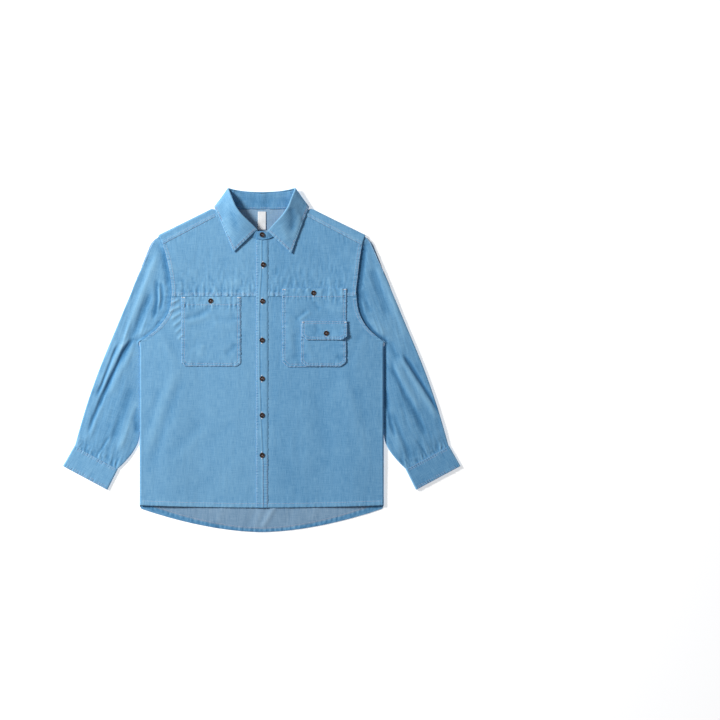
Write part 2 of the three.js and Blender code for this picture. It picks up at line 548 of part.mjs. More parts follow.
// Way from the outer to the inner face of a sleeve.
function sleeveInward(sign, u, l) {
  const station = loopStation(2 * u), down = station.onTop ? -1 : 1;
  if (station.middle !== undefined) return [0, 0, down];
  const rows = station.near === 0 ? outerRows : innerRows;
  const a = along(rows, Math.max(l - 0.01, 0)), b = along(rows, Math.min(l + 0.01, 1));
  const length = Math.hypot(b.x - a.x, b.y - a.y), turn = station.near === 0 ? 1 : -1;
  const level = Math.cos(station.angle);
  return [sign * turn * level * (b.y - a.y) / length, -turn * level * (b.x - a.x) / length,
    down * Math.sin(station.angle)];
}
const loopStations = [0, 0.05, 0.1, foldShare, 0.24, 0.34, 0.44, 0.56, 0.66, 0.76, 1 - foldShare, 0.9, 0.95];
const loopUs = [...loopStations, ...loopStations.map((w) => w + 1)].map((q) => q / 2);
const sleeveRows = [0, 0.012, 0.022, 0.032, 0.05, 0.068, 0.1, 0.15, 0.21, 0.28, 0.35, 0.42, 0.49, 0.56, 0.63,
  0.7, 0.76, 0.81, 0.86, 0.9, 0.94, 1];

// Cuff: one band that laps over itself underneath.
function cuffPoint(sign, places, u, v) {
  const b = gap + (cuff.depth - gap) * v;
  const { width, place } = places;
  const half = cuff.height / 2, roll = 3.4;
  const under = width - cuff.underlapAt, over = cuff.overlapAt;
  const spans = [under - roll, half * 2.6, width - 2 * roll, half * 2.6, over - roll];
  const total = spans.reduce((sum, span) => sum + span, 0);
  let rest = u * total, leg = 0;
  while (leg < 4 && rest > spans[leg]) { rest -= spans[leg]; leg += 1; }
  const t = rest / spans[leg];
  const lift = (x, y) => buttonLift * bump(Math.abs(x), y, places.button, 20);
  if (leg === 1 || leg === 3) {
    const angle = (t - 0.5) * Math.PI * (leg === 1 ? 1 : -1);
    const a = leg === 1 ? width - roll * (1 - Math.cos(angle)) : roll * (1 - Math.cos(angle));
    return [...place(a, b), half + half * Math.sin(angle)];
  }
  if (leg === 2) return [...place(mix(width - roll, roll, t), b), cuff.height];
  const a = leg === 0 ? mix(cuff.underlapAt, width - roll, t) : mix(roll, over, t);
  const [x, y] = place(a, b);
  const lapped = leg === 0 ? (wall + gap + 0.05) * smooth((over + 16 - a) / 14) : 0;
  return [x, y, lift(x, y) + lapped];
}
const cuffUs = [0, 0.04, 0.08, 0.12, 0.16, 0.2, 0.24, 0.266, 0.282, 0.298, 0.314, 0.33, 0.38, 0.44, 0.5, 0.56, 0.62,
  0.68, 0.74, 0.766, 0.778, 0.79, 0.802, 0.815, 0.83, 0.86, 0.88, 0.9, 0.92, 0.94, 0.96, 0.98, 1];

// Buttons: a dished disc on a height, standing on the cloth or hanging under it.
const buttonProfile = [
  [0, 0], [button.radius - 0.5, 0], [button.radius, button.height / 2],
  [button.radius - 0.4, button.height], [button.radius - button.rim, button.height],
  [button.radius - button.rim - 0.8, button.height - button.dish], [0, button.height - button.dish],
].map(([x, y]) => new THREE.Vector2(x, y));
function addButton(name, x, y, z, under = false) {
  const geometry = new THREE.LatheGeometry(buttonProfile, 16);
  geometry.rotateX(under ? -Math.PI / 2 : Math.PI / 2);
  geometry.translate(x, y, z);
  const mesh = new THREE.Mesh(geometry, horn.clone());
  mesh.name = `button_${name}`;
  part.add(mesh);
}

for (const half of [{ word: 'right', sign: -1, side: 'frontRight' }, { word: 'left', sign: 1, side: 'frontLeft' }]) {
  const { word, sign } = half;
  const lines = { front: armholeLine(half.side, 8), back: armholeLine('back', 8), side: half.side };
  addWall(`sleeve_${word}`, denim, loopUs, sleeveRows, (u, l) => sleevePoint(sign, lines, u, l),
    { closed: true, flip: sign < 0, inward: (u, l) => sleeveInward(sign, u, l) });
  const places = cuffPlaces(sign);
  const [buttonX, buttonY] = places.place(cuff.buttonAt, cuff.depth * 0.52);
  places.button = { x: Math.abs(buttonX), y: buttonY };
  addWall(`cuff_${word}`, denim, cuffUs, [0, 0.15, 0.3, 0.45, 0.6, 0.8, 1], (u, v) => cuffPoint(sign, places, u, v),
    { flip: sign > 0 });
  const strip = placketPlace(0, 0);
  addWall(`sleeve_placket_${word}`, denim, spaced(4), spaced(12), (u, v) => {
    const { top, bottom, width } = sleevePlacket;
    const away = (u - 0.5) * width;
    const dx = (bottom.x - top.x) / strip.length, dy = (bottom.y - top.y) / strip.length;
    const x = mix(top.x, bottom.x, v) + away * dy, y = mix(top.y, bottom.y, v) - away * dx;
    return [sign * x, y, buttonLift * bump(x, y, sleevePlacket.button, 20)];
  }, { thickness: sleevePlacket.thickness, flip: sign > 0 });
  addButton(`sleeve_placket_${word}`, sign * sleevePlacket.button.x, sleevePlacket.button.y, button.height, true);
  addButton(`cuff_${word}`, buttonX, buttonY, button.height, true);
}

// A button on the front clears the highest cloth under its rim.
const clearOf = (height, x, y) => gap + Math.max(...spaced(8).map((t) => {
  const angle = t * 2 * Math.PI;
  return height(x + button.radius * Math.cos(angle), y + button.radius * Math.sin(angle));
}));
for (const { name, x, y } of frontButtons) {
  addButton(name, x, y, name === 'collar' ? 13.2 : clearOf(placketHeight, x, y));
}
for (const { name, x, y, on } of pocketButtons) {
  addButton(name, x, y, clearOf((px, py) => patchHeight(on, px, py), x, y));
}

export default part;
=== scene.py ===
import json, math
import bpy, bmesh
from mathutils import Matrix, Vector, noise

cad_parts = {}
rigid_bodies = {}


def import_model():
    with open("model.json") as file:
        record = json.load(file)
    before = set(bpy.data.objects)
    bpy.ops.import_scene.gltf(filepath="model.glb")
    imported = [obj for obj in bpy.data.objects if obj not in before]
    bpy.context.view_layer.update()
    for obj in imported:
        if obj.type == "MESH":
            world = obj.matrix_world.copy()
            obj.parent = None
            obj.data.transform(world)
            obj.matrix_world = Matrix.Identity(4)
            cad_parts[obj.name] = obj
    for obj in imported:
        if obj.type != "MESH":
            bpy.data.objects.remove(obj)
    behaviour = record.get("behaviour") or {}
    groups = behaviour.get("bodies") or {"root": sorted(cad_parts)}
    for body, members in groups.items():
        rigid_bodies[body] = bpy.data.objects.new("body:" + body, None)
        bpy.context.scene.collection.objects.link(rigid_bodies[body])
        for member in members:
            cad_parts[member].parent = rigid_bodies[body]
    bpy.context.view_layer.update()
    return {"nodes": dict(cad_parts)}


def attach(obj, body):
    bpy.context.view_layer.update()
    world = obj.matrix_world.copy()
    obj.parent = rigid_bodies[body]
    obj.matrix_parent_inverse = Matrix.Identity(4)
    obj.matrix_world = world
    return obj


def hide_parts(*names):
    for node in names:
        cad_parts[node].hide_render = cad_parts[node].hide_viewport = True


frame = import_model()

# A denim shirt laid flat, front up. Work sizes are millimetres and become metres in the meshes.
# The pieces follow the same sizes as the solids; creases, puckers, stitches and cloth are added here.
mm = 0.001
print("frame loaded:", len(frame["nodes"]), "nodes")


# Small maths.

def clamp(t, low=0.0, high=1.0):
    return min(max(t, low), high)


def mix(a, b, t):
    return a + (b - a) * t


def smooth(t):  # eases from 0 to 1
    k = clamp(t)
    return k * k * (3 - 2 * k)


def bell(distance, width):  # 1 at a line, fading away from it
    return math.exp(-(distance / width) ** 2)


def soft(x, y, seed):  # smooth noise, the same on each run
    return noise.noise(Vector((x, y, seed)))


def lookup(table, key, column, at):  # smooth curve through a table's rows
    i = 0
    while i < len(table) - 2 and at > table[i + 1][key]:
        i += 1
    a, b = table[i], table[i + 1]
    before, after = table[max(i - 1, 0)], table[min(i + 2, len(table) - 1)]
    span = b[key] - a[key]
    t = clamp((at - a[key]) / span)
    slopeA = span * (b[column] - before[column]) / (b[key] - before[key])
    slopeB = span * (after[column] - a[column]) / (after[key] - a[key])
    t2, t3 = t * t, t * t * t
    return ((2 * t3 - 3 * t2 + 1) * a[column] + (t3 - 2 * t2 + t) * slopeA
            + (3 * t2 - 2 * t3) * b[column] + (t3 - t2) * slopeB)


def rows(names, *values):  # a table from its column names and its rows
    return [dict(zip(names.split(), row)) for row in values]


def measured(table):  # adds the share of the length at each row
    length, shares = 0.0, [0.0]
    for a, b in zip(table, table[1:]):
        length += math.hypot(b["x"] - a["x"], b["y"] - a["y"])
        shares.append(length)
    return [dict(row, share=share / length) for row, share in zip(table, shares)]


def stations(length, step, fineAt=(), fineReach=12, fineStep=1.2):  # shares of a length, closer at seams
    out, at = [0.0], 0.0
    while at < length:
        near = any(abs(at - f) < fineReach for f in fineAt)
        at += fineStep if near else step
        if at < length - 0.4:
            out.append(at / length)
    return out + [1.0]


def polyline(points, x, y):  # distance from a bent line, side of it, and how far along it the foot lies
    best = (1e9, 0.0, 0.0)
    total = sum(math.dist(a, b) for a, b in zip(points, points[1:]))
    run = 0.0
    for (ax, ay), (bx, by) in zip(points, points[1:]):
        dx, dy = bx - ax, by - ay
        length = math.hypot(dx, dy)
        t = clamp(((x - ax) * dx + (y - ay) * dy) / (length * length))
        away = math.hypot(x - ax - t * dx, y - ay - t * dy)
        if away < best[0]:
            side = (x - ax) * dy - (y - ay) * dx
            best = (away, 1.0 if side >= 0 else -1.0, (run + t * length) / total)
        run += length
    return best


def crease(width, rise, *line, steep=0):  # a fold along points of the plan; steep is its sharper side
    return {"line": line, "width": width, "rise": rise, "steep": steep}


def foldHeight(folds, x, y):  # height of a table of creases, each fading at its ends
    rise = 0.0
    for fold in folds:
        points, width, high = fold["line"], fold["width"], fold["rise"]
        low = min(p[0] for p in points) - 3 * width, min(p[1] for p in points) - 3 * width
        top = max(p[0] for p in points) + 3 * width, max(p[1] for p in points) + 3 * width
        if not (low[0] < x < top[0] and low[1] < y < top[1]):
            continue
        away, side, along = polyline(points, x, y)
        wander = 1 + 0.25 * soft(along * 3, width, 4.0)
        fade = smooth(along / 0.16) * smooth((1 - along) / 0.2)
        sharp = 0.6 if side * fold["steep"] > 0 else 1.0
        rise += high * fade * bell(away, width * sharp * wander)
    return rise


# Materials.

def linear(hexColour, alpha=1.0):
    values = [int(hexColour[i:i + 2], 16) / 255 for i in (1, 3, 5)]
    return (*[v / 12.92 if v <= 0.04045 else ((v + 0.055) / 1.055) ** 2.4 for v in values], alpha)


def addNode(tree, kind, settings=None, links=None):  # a node with its settings and its input links
    node = tree.nodes.new(kind)
    for name, value in (settings or {}).items():
        if name.startswith("in:"):
            key = name[3:]
            node.inputs[int(key) if key.isdigit() else key].default_value = value
        else:
            setattr(node, name, value)
    for name, source in (links or {}).items():
        tree.links.new(source, node.inputs[int(name) if name.isdigit() else name])
    return node


def newMaterial(name):
    material = bpy.data.materials.new(name)
    material.use_nodes = True
    tree = material.node_tree
    tree.nodes.clear()
    return material, tree


clothLook = {
    "face": {"light": "#89bfe3", "base": "#76aed7", "dark": "#5a97c5", "pale": "#aad3f0", "deep": "#3d79a8"},
    "inside": {"light": "#9dbdd7", "base": "#88abc9", "dark": "#6d94b6", "pale": "#b9d0e2",
               "deep": "#547b9f"},
    "slubAcross": 1.5,      # mm, width of a warp streak
    "slubAlong": 24,        # mm, length of a warp streak
    "weftAcross": 1.7,      # mm, width of a weft streak
    "weftAlong": 26,        # mm, length of a weft streak
    "weave": 1.3,           # mm, drawn a little coarser than the real thread spacing, so that it shows
    "mottle": 46,           # mm, wash patches
    "gains": {"warp": 0.66, "weft": 0.34, "weave": 0.44, "mottle": 0.12, "tone": 0.48},
}


def denim(name, look):  # washed chambray denim: streaked warp, fine weave, paler where seams rub; the tone attribute also carries painted shade and light from the pieces
    material, tree = newMaterial(name)
    uv = addNode(tree, "ShaderNodeUVMap", {"uv_map": "cloth"})
    streakAt = addNode(tree, "ShaderNodeMapping", {
        "in:Scale": (1 / (clothLook["slubAcross"] * mm), 1 / (clothLook["slubAlong"] * mm), 1)},
        {"Vector": uv.outputs["UV"]})
    streak = addNode(tree, "ShaderNodeTexNoise", {"in:Scale": 1.0, "in:Detail": 3.0, "in:Roughness": 0.62},
                     {"Vector": streakAt.outputs["Vector"]})
    weftAt = addNode(tree, "ShaderNodeMapping", {
        "in:Scale": (1 / (clothLook["weftAlong"] * mm), 1 / (clothLook["weftAcross"] * mm), 1),
        "in:Location": (3.3, 7.1, 0)}, {"Vector": uv.outputs["UV"]})
    weft = addNode(tree, "ShaderNodeTexNoise", {"in:Scale": 1.0, "in:Detail": 2.0},
                   {"Vector": weftAt.outputs["Vector"]})
    weave, mottle = (
        addNode(tree, "ShaderNodeTexNoise", {"in:Scale": 1 / (clothLook[key] * mm), "in:Detail": detail},
                {"Vector": uv.outputs["UV"]}) for key, detail in (("weave", 1.0), ("mottle", 4.0)))
    tone = addNode(tree, "ShaderNodeAttribute", {"attribute_name": "tone"})

    def weigh(source, centre, gain):
        moved = addNode(tree, "ShaderNodeMath", {"operation": "SUBTRACT", "in:1": centre}, {"0": source})
        return addNode(tree, "ShaderNodeMath", {"operation": "MULTIPLY", "in:1": gain},
                       {"0": moved.outputs[0]}).outputs[0]

    gains = clothLook["gains"]
    parts = [weigh(source.outputs["Fac"], centre, gains[key]) for source, centre, key in (
        (streak, 0.5, "warp"), (weft, 0.5, "weft"), (weave, 0.5, "weave"), (mottle, 0.5, "mottle"),
        (tone, 0.0, "tone"))]
    total = parts[0]
    for part in parts[1:]:
        total = addNode(tree, "ShaderNodeMath", {"operation": "ADD"}, {"0": total, "1": part}).outputs[0]
    centred = addNode(tree, "ShaderNodeMath", {"operation": "ADD", "in:1": 0.5, "use_clamp": True},
                      {"0": total})
    ramp = addNode(tree, "ShaderNodeValToRGB", None, {"Fac": centred.outputs[0]})
    stops = ramp.color_ramp.elements
    stops[0].position, stops[0].color = 0.0, linear(look["deep"])
    stops[1].position, stops[1].color = 1.0, linear(look["pale"])
    for position, key in ((0.28, "dark"), (0.5, "base"), (0.74, "light")):
        stop = stops.new(position)
        stop.color = linear(look[key])
    relief = addNode(tree, "ShaderNodeMath", {"operation": "ADD"},
                     {"0": weave.outputs["Fac"], "1": streak.outputs["Fac"]})
    bump = addNode(tree, "ShaderNodeBump", {"in:Strength": 0.35, "in:Distance": 0.25 * mm},
                   {"Height": relief.outputs[0]})
    shader = addNode(tree, "ShaderNodeBsdfPrincipled", {
        "in:Roughness": 0.88, "in:Sheen Weight": 0.12, "in:Sheen Roughness": 0.6,
        "in:Specular IOR Level": 0.25},
        {"Base Color": ramp.outputs["Color"], "Normal": bump.outputs["Normal"]})
    addNode(tree, "ShaderNodeOutputMaterial", None, {"Surface": shader.outputs["BSDF"]})
    return material


def plainCloth(name, low, high, grain, roughness, bumpDistance):  # spun thread or woven tape
    material, tree = newMaterial(name)
    place = addNode(tree, "ShaderNodeTexCoord")
    grains = addNode(tree, "ShaderNodeTexNoise", {"in:Scale": 1 / (grain * mm), "in:Detail": 2.0},
                     {"Vector": place.outputs["Object"]})
    ramp = addNode(tree, "ShaderNodeValToRGB", None, {"Fac": grains.outputs["Fac"]})
    ramp.color_ramp.elements[0].position, ramp.color_ramp.elements[0].color = 0.3, linear(low)
    ramp.color_ramp.elements[1].position, ramp.color_ramp.elements[1].color = 0.7, linear(high)
    bump = addNode(tree, "ShaderNodeBump", {"in:Strength": 0.4, "in:Distance": bumpDistance * mm},
                   {"Height": grains.outputs["Fac"]})
    shader = addNode(tree, "ShaderNodeBsdfPrincipled",
                     {"in:Roughness": roughness, "in:Specular IOR Level": 0.3},
                     {"Base Color": ramp.outputs["Color"], "Normal": bump.outputs["Normal"]})
    addNode(tree, "ShaderNodeOutputMaterial", None, {"Surface": shader.outputs["BSDF"]})
    return material


def hornMaterial():  # polished horn: dark brown with warm, paler streaks towards the middle
    material, tree = newMaterial("polished_horn")
    place = addNode(tree, "ShaderNodeUVMap", {"uv_map": "cloth"})
    streaks = addNode(tree, "ShaderNodeTexNoise",  # streaks of about 4.5 mm
                      {"in:Scale": 220.0, "in:Detail": 3.0, "in:Distortion": 1.2},
                      {"Vector": place.outputs["UV"]})
    tone = addNode(tree, "ShaderNodeAttribute", {"attribute_name": "tone"})
    total = addNode(tree, "ShaderNodeMath", {"operation": "ADD"},
                    {"0": streaks.outputs["Fac"], "1": tone.outputs["Fac"]})
    ramp = addNode(tree, "ShaderNodeValToRGB", None, {"Fac": total.outputs[0]})
    stops = ramp.color_ramp.elements
    stops[0].position, stops[0].color = 0.35, linear("#1c120e")
    stops[1].position, stops[1].color = 0.95, linear("#b07a4a")
    middle = stops.new(0.65)
    middle.color = linear("#4a2f20")
    shader = addNode(tree, "ShaderNodeBsdfPrincipled", {"in:Roughness": 0.28, "in:IOR": 1.54,
                     "in:Coat Weight": 0.3, "in:Coat Roughness": 0.15}, {"Base Color": ramp.outputs["Color"]})
    addNode(tree, "ShaderNodeOutputMaterial", None, {"Surface": shader.outputs["BSDF"]})
    return material


denimFace = denim("washed_denim_face", clothLook["face"])            # right side, seen nearly everywhere
denimInside = denim("washed_denim_wrong_side", clothLook["inside"])  # wrong side, greyer from the white weft
# spun cotton: matt and slightly fuzzy, pink grey for the topstitching, white for bartacks and buttonholes
thread = plainCloth("cotton_thread_pink_grey", "#b3b6cf", "#e6e0ea", 0.8, 0.7, 0.1)
whiteThread = plainCloth("cotton_thread_white", "#dcdee6", "#f7f7fa", 0.8, 0.65, 0.1)
tape = plainCloth("woven_label_tape", "#e9ebee", "#fbfbfb", 0.9, 0.75, 0.12)  # dense satin-woven tape, matt
horn = hornMaterial()
paintedHoleShadow = plainCloth("button_hole_shadow", "#120c0a", "#1d1411", 0.8, 0.9, 0.05)  # painted shadow: dark discs on the horn stand for its bored holes
print("materials made")


# Making a piece.

def finishPiece(name, mesh, materials, nodes=()):
    piece = bpy.data.objects.new(name, mesh)
    bpy.context.scene.collection.objects.link(piece)
    for material in materials:
        mesh.materials.append(material)
    for polygon in mesh.polygons:
        polygon.use_smooth = True
    if nodes:
        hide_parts(*nodes)
    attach(piece, "root")
    return piece


def clothPiece(name, nodes, us, vs, surface, uvOf, thickness=1.0, flip=False, closed=False, centred=False,
               inside=True, materials=None):
    # a thin shell: surface(u, v) gives x, y, z of the outer face, a lift along its normal, and a tone
    bm = bmesh.new()
    columns, lines = len(us) - 1, len(vs) - 1
    bmesh.ops.create_grid(bm, x_segments=columns, y_segments=lines, size=0.5)
    toneLayer = bm.verts.layers.float.new("tone")
    uvLayer = bm.loops.layers.uv.new("cloth")
    lifts, stationOf = {}, {}
    for vert in bm.verts:
        i, j = round((vert.co.x + 0.5) * columns), round((vert.co.y + 0.5) * lines)
        stationOf[vert] = (us[i], vs[j])
        x, y, z, lift, tone = surface(us[i], vs[j])
        vert.co = Vector((x, y, z)) * mm
        vert[toneLayer] = tone
        lifts[vert] = lift * mm
    for face in bm.faces:
        for loop in face.loops:
            u, v = stationOf[loop.vert]
            across, along = uvOf(u, v, loop.vert.co / mm)
            loop[uvLayer].uv = (across * mm, along * mm)
    if flip:
        bmesh.ops.reverse_faces(bm, faces=bm.faces)
    if closed:
        bmesh.ops.remove_doubles(bm, verts=bm.verts, dist=1e-6)
        lifts = {vert: lift for vert, lift in lifts.items() if vert.is_valid}
    bm.normal_update()
    moved = {vert: vert.normal * lift for vert, lift in lifts.items() if abs(lift) > 1e-9}
    for vert, shift in moved.items():
        vert.co += shift
        vert.co.z = max(vert.co.z, 0.0)
    mesh = bpy.data.meshes.new(name)
    bm.to_mesh(mesh)
    bm.free()
    if not materials:
        materials = [denimFace, denimInside] if inside else [denimFace]
    piece = finishPiece(name, mesh, materials, nodes)
    wallModifier = piece.modifiers.new("cloth thickness", "SOLIDIFY")
    wallModifier.thickness = thickness * mm
    wallModifier.offset = 0.0 if centred else -1.0
    wallModifier.use_even_offset = False
    if len(materials) > 1:
        wallModifier.material_offset = 1  # the wrong side
    return piece


stitchLook = {"length": 2.8, "pitch": 3.5, "width": 1.05, "height": 0.5}  # mm, a little coarser than real


def stitches(name, runs, material=None, look=None):  # runs of small rounded threads laid on surfaces
    look = dict(stitchLook, **(look or {}))
    bm = bmesh.new()
    for surface, path, up in runs:
        points = [Vector(surface(*p)[:3]) for p in path]
        steps = [0.0]
        for a, b in zip(points, points[1:]):
            steps.append(steps[-1] + (b - a).length)
        count = int(steps[-1] / look["pitch"])
        k = 0
        for n in range(count):
            at = (n + 0.5) * look["pitch"]
            while k < len(steps) - 2 and steps[k + 1] < at:
                k += 1
            t = (at - steps[k]) / max(steps[k + 1] - steps[k], 1e-6)
            spot = points[k].lerp(points[k + 1], t)
            u, v = (mix(path[k][i], path[k + 1][i], t) for i in (0, 1))
            here = Vector(surface(u, v)[:3])
            du = Vector(surface(u + 1e-3, v)[:3]) - here
            dv = Vector(surface(u, v + 1e-3)[:3]) - here
            normal = du.cross(dv)
            if normal.length < 1e-12:
                continue
            normal = normal.normalized() * up
            along = (points[k + 1] - points[k]).normalized()
            across = normal.cross(along).normalized()
            wobble = 0.25 * soft(at * 0.7, spot.x * 0.1, 2.0)
            turn = Matrix((along, across, normal)).transposed().to_4x4()
            place = (Matrix.Translation((here + normal * 0.12 + across * wobble) * mm) @ turn
                     @ Matrix.Diagonal((look["length"] * 0.5 * mm, look["width"] * 0.5 * mm,
                                        look["height"] * 0.5 * mm, 1)))
            bmesh.ops.create_icosphere(bm, subdivisions=1, radius=1.0, matrix=place)
    mesh = bpy.data.meshes.new(name)
    bm.to_mesh(mesh)
    bm.free()
    return finishPiece(name, mesh, [material or thread])


def seamBand(distance, first, last):  # height of the folded allowances beside a seam, dipped at its stitches
    raised = 0.55 * smooth(distance / 0.9) * (1 - smooth((distance - last - 1.2) / 2.0))
    return raised - 0.34 * bell(distance - first, 0.95) - 0.34 * bell(distance - last, 0.95)


def puckers(along, away, seed, reach=13, pitch=7):  # small gathers across a seam, dying away from it
    wave = soft(along / pitch, away / (pitch * 4), seed)
    wave += 0.5 * soft(along / (pitch * 0.5), away / pitch, seed + 5)
    return 2.1 * wave * math.exp(-abs(away) / reach)


def beads(along, away, seed, reach=4.0, pitch=6.3):  # the rope of small puckers along a topstitched edge
    wave = math.sin(2 * math.pi * along / pitch + 2.4 * soft(along / 24, 0.3, seed))
    return wave * (1 + 1.2 * soft(along / 13, 0.7, seed)) * bell(away, reach)


# Sizes shared with the solids, in millimetres.

body = {
    "side": 305, "roll": 4, "seamHeight": 4.5, "underarm": 46, "chestSeam": 159.4, "yokeSeam": 244.4,
    "frontHemSide": -361, "frontHemMiddle": -368.6, "backHemSide": -361, "backHemMiddle": -429.5,
    "middle": 5.5, "rise": 9.2, "hemDrop": 1.3, "neckFront": 299, "neckSideX": 114, "neckSideY": 359,
    "split": 10.3, "gap": 0.3, "wall": 1.2, "lap": 0.45, "pleat": 23.5,
    # shares of the half width where the cloth starts to turn at the sides
    "frontTurn": 0.9, "backTurn": 0.91,
}
seams = {  # distances of the two rows of stitches from a seam or a hem
    "chest": (4.0, 8.2), "armhole": (1.9, 8.2), "yokeFront": (1.8, 7.5), "yokeBack": (3.2, 10),
    "backHem": (3.0, 10.5),
}
hemStitch = 10.5
sides = (("right", -1), ("left", 1))  # the wearer's right is on -X
armholes = rows(
    "y right left back",
    (40, 305, 305, 305), (46, 303.5, 304.5, 304.5), (51, 297, 298, 301.5), (80, 260.3, 265.5, 289),
    (118, 233.3, 243.8, 278), (165, 225, 236.5, 269), (205, 227.8, 240, 266.5), (259, 238.5, 246.5, 264.8),
    (289, 247.8, 252, 261), (312, 257.5, 259.5, 258.5))


def sideEdge(side, y):
    return body["side"] if y < 40 else lookup(armholes, "y", side, y)


def frontHeight(x, y):
    outer, neck = smooth((abs(x) - 140) / 100), 0.8 * smooth((y - 200) / 130)
    rise = (body["rise"] - body["middle"]) * (1 - (1 - outer) * (1 - neck))
    return body["middle"] + rise - body["hemDrop"] * smooth((-y - 240) / 110)


def seamLip(y):  # the upper front stands higher along the chest seam
    return 0.5 * smooth((body["chestSeam"] + 30 - y) / 24) if y > body["chestSeam"] else 0.0


def lapLip(y):  # what lies across the seam rises to it a little before
    return seamLip(y) if y > body["chestSeam"] else 0.5 * clamp((y - body["chestSeam"] + 8) / 8)


def sideTurn(y):  # only below the armhole
    return smooth((body["underarm"] - y) / 7)


def neckCurve(x):
    return body["neckFront"] + (body["neckSideY"] - body["neckFront"]) * (abs(x) / body["neckSideX"]) ** 1.5


def frontHem(x):
    return mix(body["frontHemMiddle"], body["frontHemSide"], (x / body["side"]) ** 2)


def backHem(x):
    return mix(body["backHemMiddle"], body["backHemSide"], (abs(x) / body["side"]) ** 1.75)


def frontYoke(x):
    away = body["neckSideX"]
    return mix(body["neckSideY"], 288.6, (abs(x) - away) / (247.8 - away))


placket = {"left": -14.0, "right": 18.0, "stitchIn": 1.9, "edgeDrop": 1.75}
patches = {
    "pocket_right": {"left": -200.5, "right": -52.3, "top": 158.9, "bottom": -15.6, "corner": 10, "over": 0,
                     "band": 22.5, "stitch": (1.8, 7.6), "folds": [
                         crease(7, -1.1, (-196, 104), (-160, 112), (-136, 126), (-126, 138)),
                         crease(7, 0.9, (-190, 92), (-154, 102), (-124, 116)),
                         crease(9, 0.8, (-124, 92), (-92, 88), (-56, 80)),
                         crease(8, -0.8, (-118, 106), (-84, 102), (-54, 104)),
                         crease(8, -0.9, (-92, 14), (-76, 26), (-60, 44)),
                         crease(9, 0.6, (-150, 40), (-152, 10))]},
    "pocket_left": {"left": 50.8, "right": 211.8, "top": 179.4, "bottom": -17.4, "corner": 15, "over": 0,
                    "band": 22.5, "stitch": (1.8, 7.6), "folds": [
                        crease(5, 1.2, (92, 98), (104, 108), (124, 122)),
                        crease(5, -1.0, (84, 100), (98, 112), (116, 128)),
                        crease(5, -1.0, (130, 148), (136, 138), (146, 124)),
                        crease(9, 0.8, (64, 120), (70, 60), (78, 20)),
                        crease(8, -0.9, (84, 70), (86, 30), (90, -6)),
                        crease(8, 0.7, (160, 140), (184, 128), (206, 124))]},
    "coin_pocket_left": {"left": 97.5, "right": 211, "top": 93, "bottom": -15.4, "corner": 14, "over": 1,
                         "band": 0, "stitch": (1.8, 6.2), "folds": [
                             crease(8, 0.8, (110, 44), (122, 20), (128, -6)),
                             crease(5, -1.0, (186, 12), (198, 2), (202, -8))]},
    "pocket_flap_left": {"left": 99.5, "right": 213.5, "top": 98.6, "bottom": 50.6, "corner": 13, "over": 2,
                         "band": 0, "stitch": (1.8, 7.0), "folds": [
                             crease(6, -0.8, (134, 94), (138, 74), (134, 56)),
                             crease(8, 0.7, (180, 94), (184, 76), (188, 56))]},
}


def paintedShadeLeftFront(x):  # painted shade: the left front, farther from the light, is darkened in its colour
    return 0.17 * smooth((x - 12) / 24)


def covered(x, y):  # how far a spot of the front lies under the placket or a pocket
    hidden = smooth(min(x - placket["left"], placket["right"] - x) / 4)
    for name in ("pocket_right", "pocket_left"):
        patch = patches[name]
        hidden = max(hidden, smooth(min(x - patch["left"], patch["right"] - x, y - patch["bottom"] - 3,
                                        patch["top"] - y) / 4))
    return hidden


frontFolds = [
    crease(12, 1.7, (-206, -8), (-240, -95), (-272, -188), (-290, -240)),
    crease(11, -1.6, (-196, -36), (-228, -122), (-256, -205), (-284, -285)),
    crease(9, -0.9, (-248, -60), (-276, -130), (-292, -190)),
    crease(13, -0.9, (-146, -150), (-190, -196), (-238, -244)),
    crease(11, 0.7, (-128, -160), (-170, -205), (-214, -256)),
    crease(13, -0.7, (-72, -150), (-104, -186), (-138, -226)),
    crease(14, 0.6, (-60, -250), (-90, -290), (-110, -345)),
    crease(14, 0.9, (196, -30), (226, -120), (250, -200), (262, -270)),
    crease(12, -0.9, (214, -24), (244, -110), (268, -180)),
    crease(18, -0.7, (120, -60), (150, -140), (160, -230)),
    crease(16, 0.6, (92, -90), (112, -180), (118, -280)),
    crease(13, -0.5, (60, -240), (80, -300), (92, -352)),
    crease(10, 0.8, (-236, 250), (-205, 215), (-176, 190)),
    crease(8, -0.7, (-228, 232), (-196, 200), (-170, 176)),
    crease(9, 0.7, (240, 244), (222, 214), (214, 182)),
    crease(10, 1.0, (-262, 66), (-236, 30), (-214, -22)),
    crease(8, -0.9, (-252, 88), (-222, 44), (-206, 0)),
    crease(10, 0.8, (266, 64), (244, 24), (232, -30)),
    crease(8, -0.7, (256, 84), (234, 40), (222, -8)),
    crease(12, 0.6, (-40, 290), (-52, 240), (-56, 196)),
    crease(12, -0.5, (60, 288), (48, 250), (44, 206)),
]
armholePuckers = [  # short diagonal puckers between the right pocket and the armhole
    crease(3.4, 2.6 - 0.25 * n, (-240 + 6 * n, 136 - 17 * n), (-226 + 5 * n, 143 - 16.5 * n),
           (-204 + 3 * n, 153 - 16 * n)) for n in range(6)]


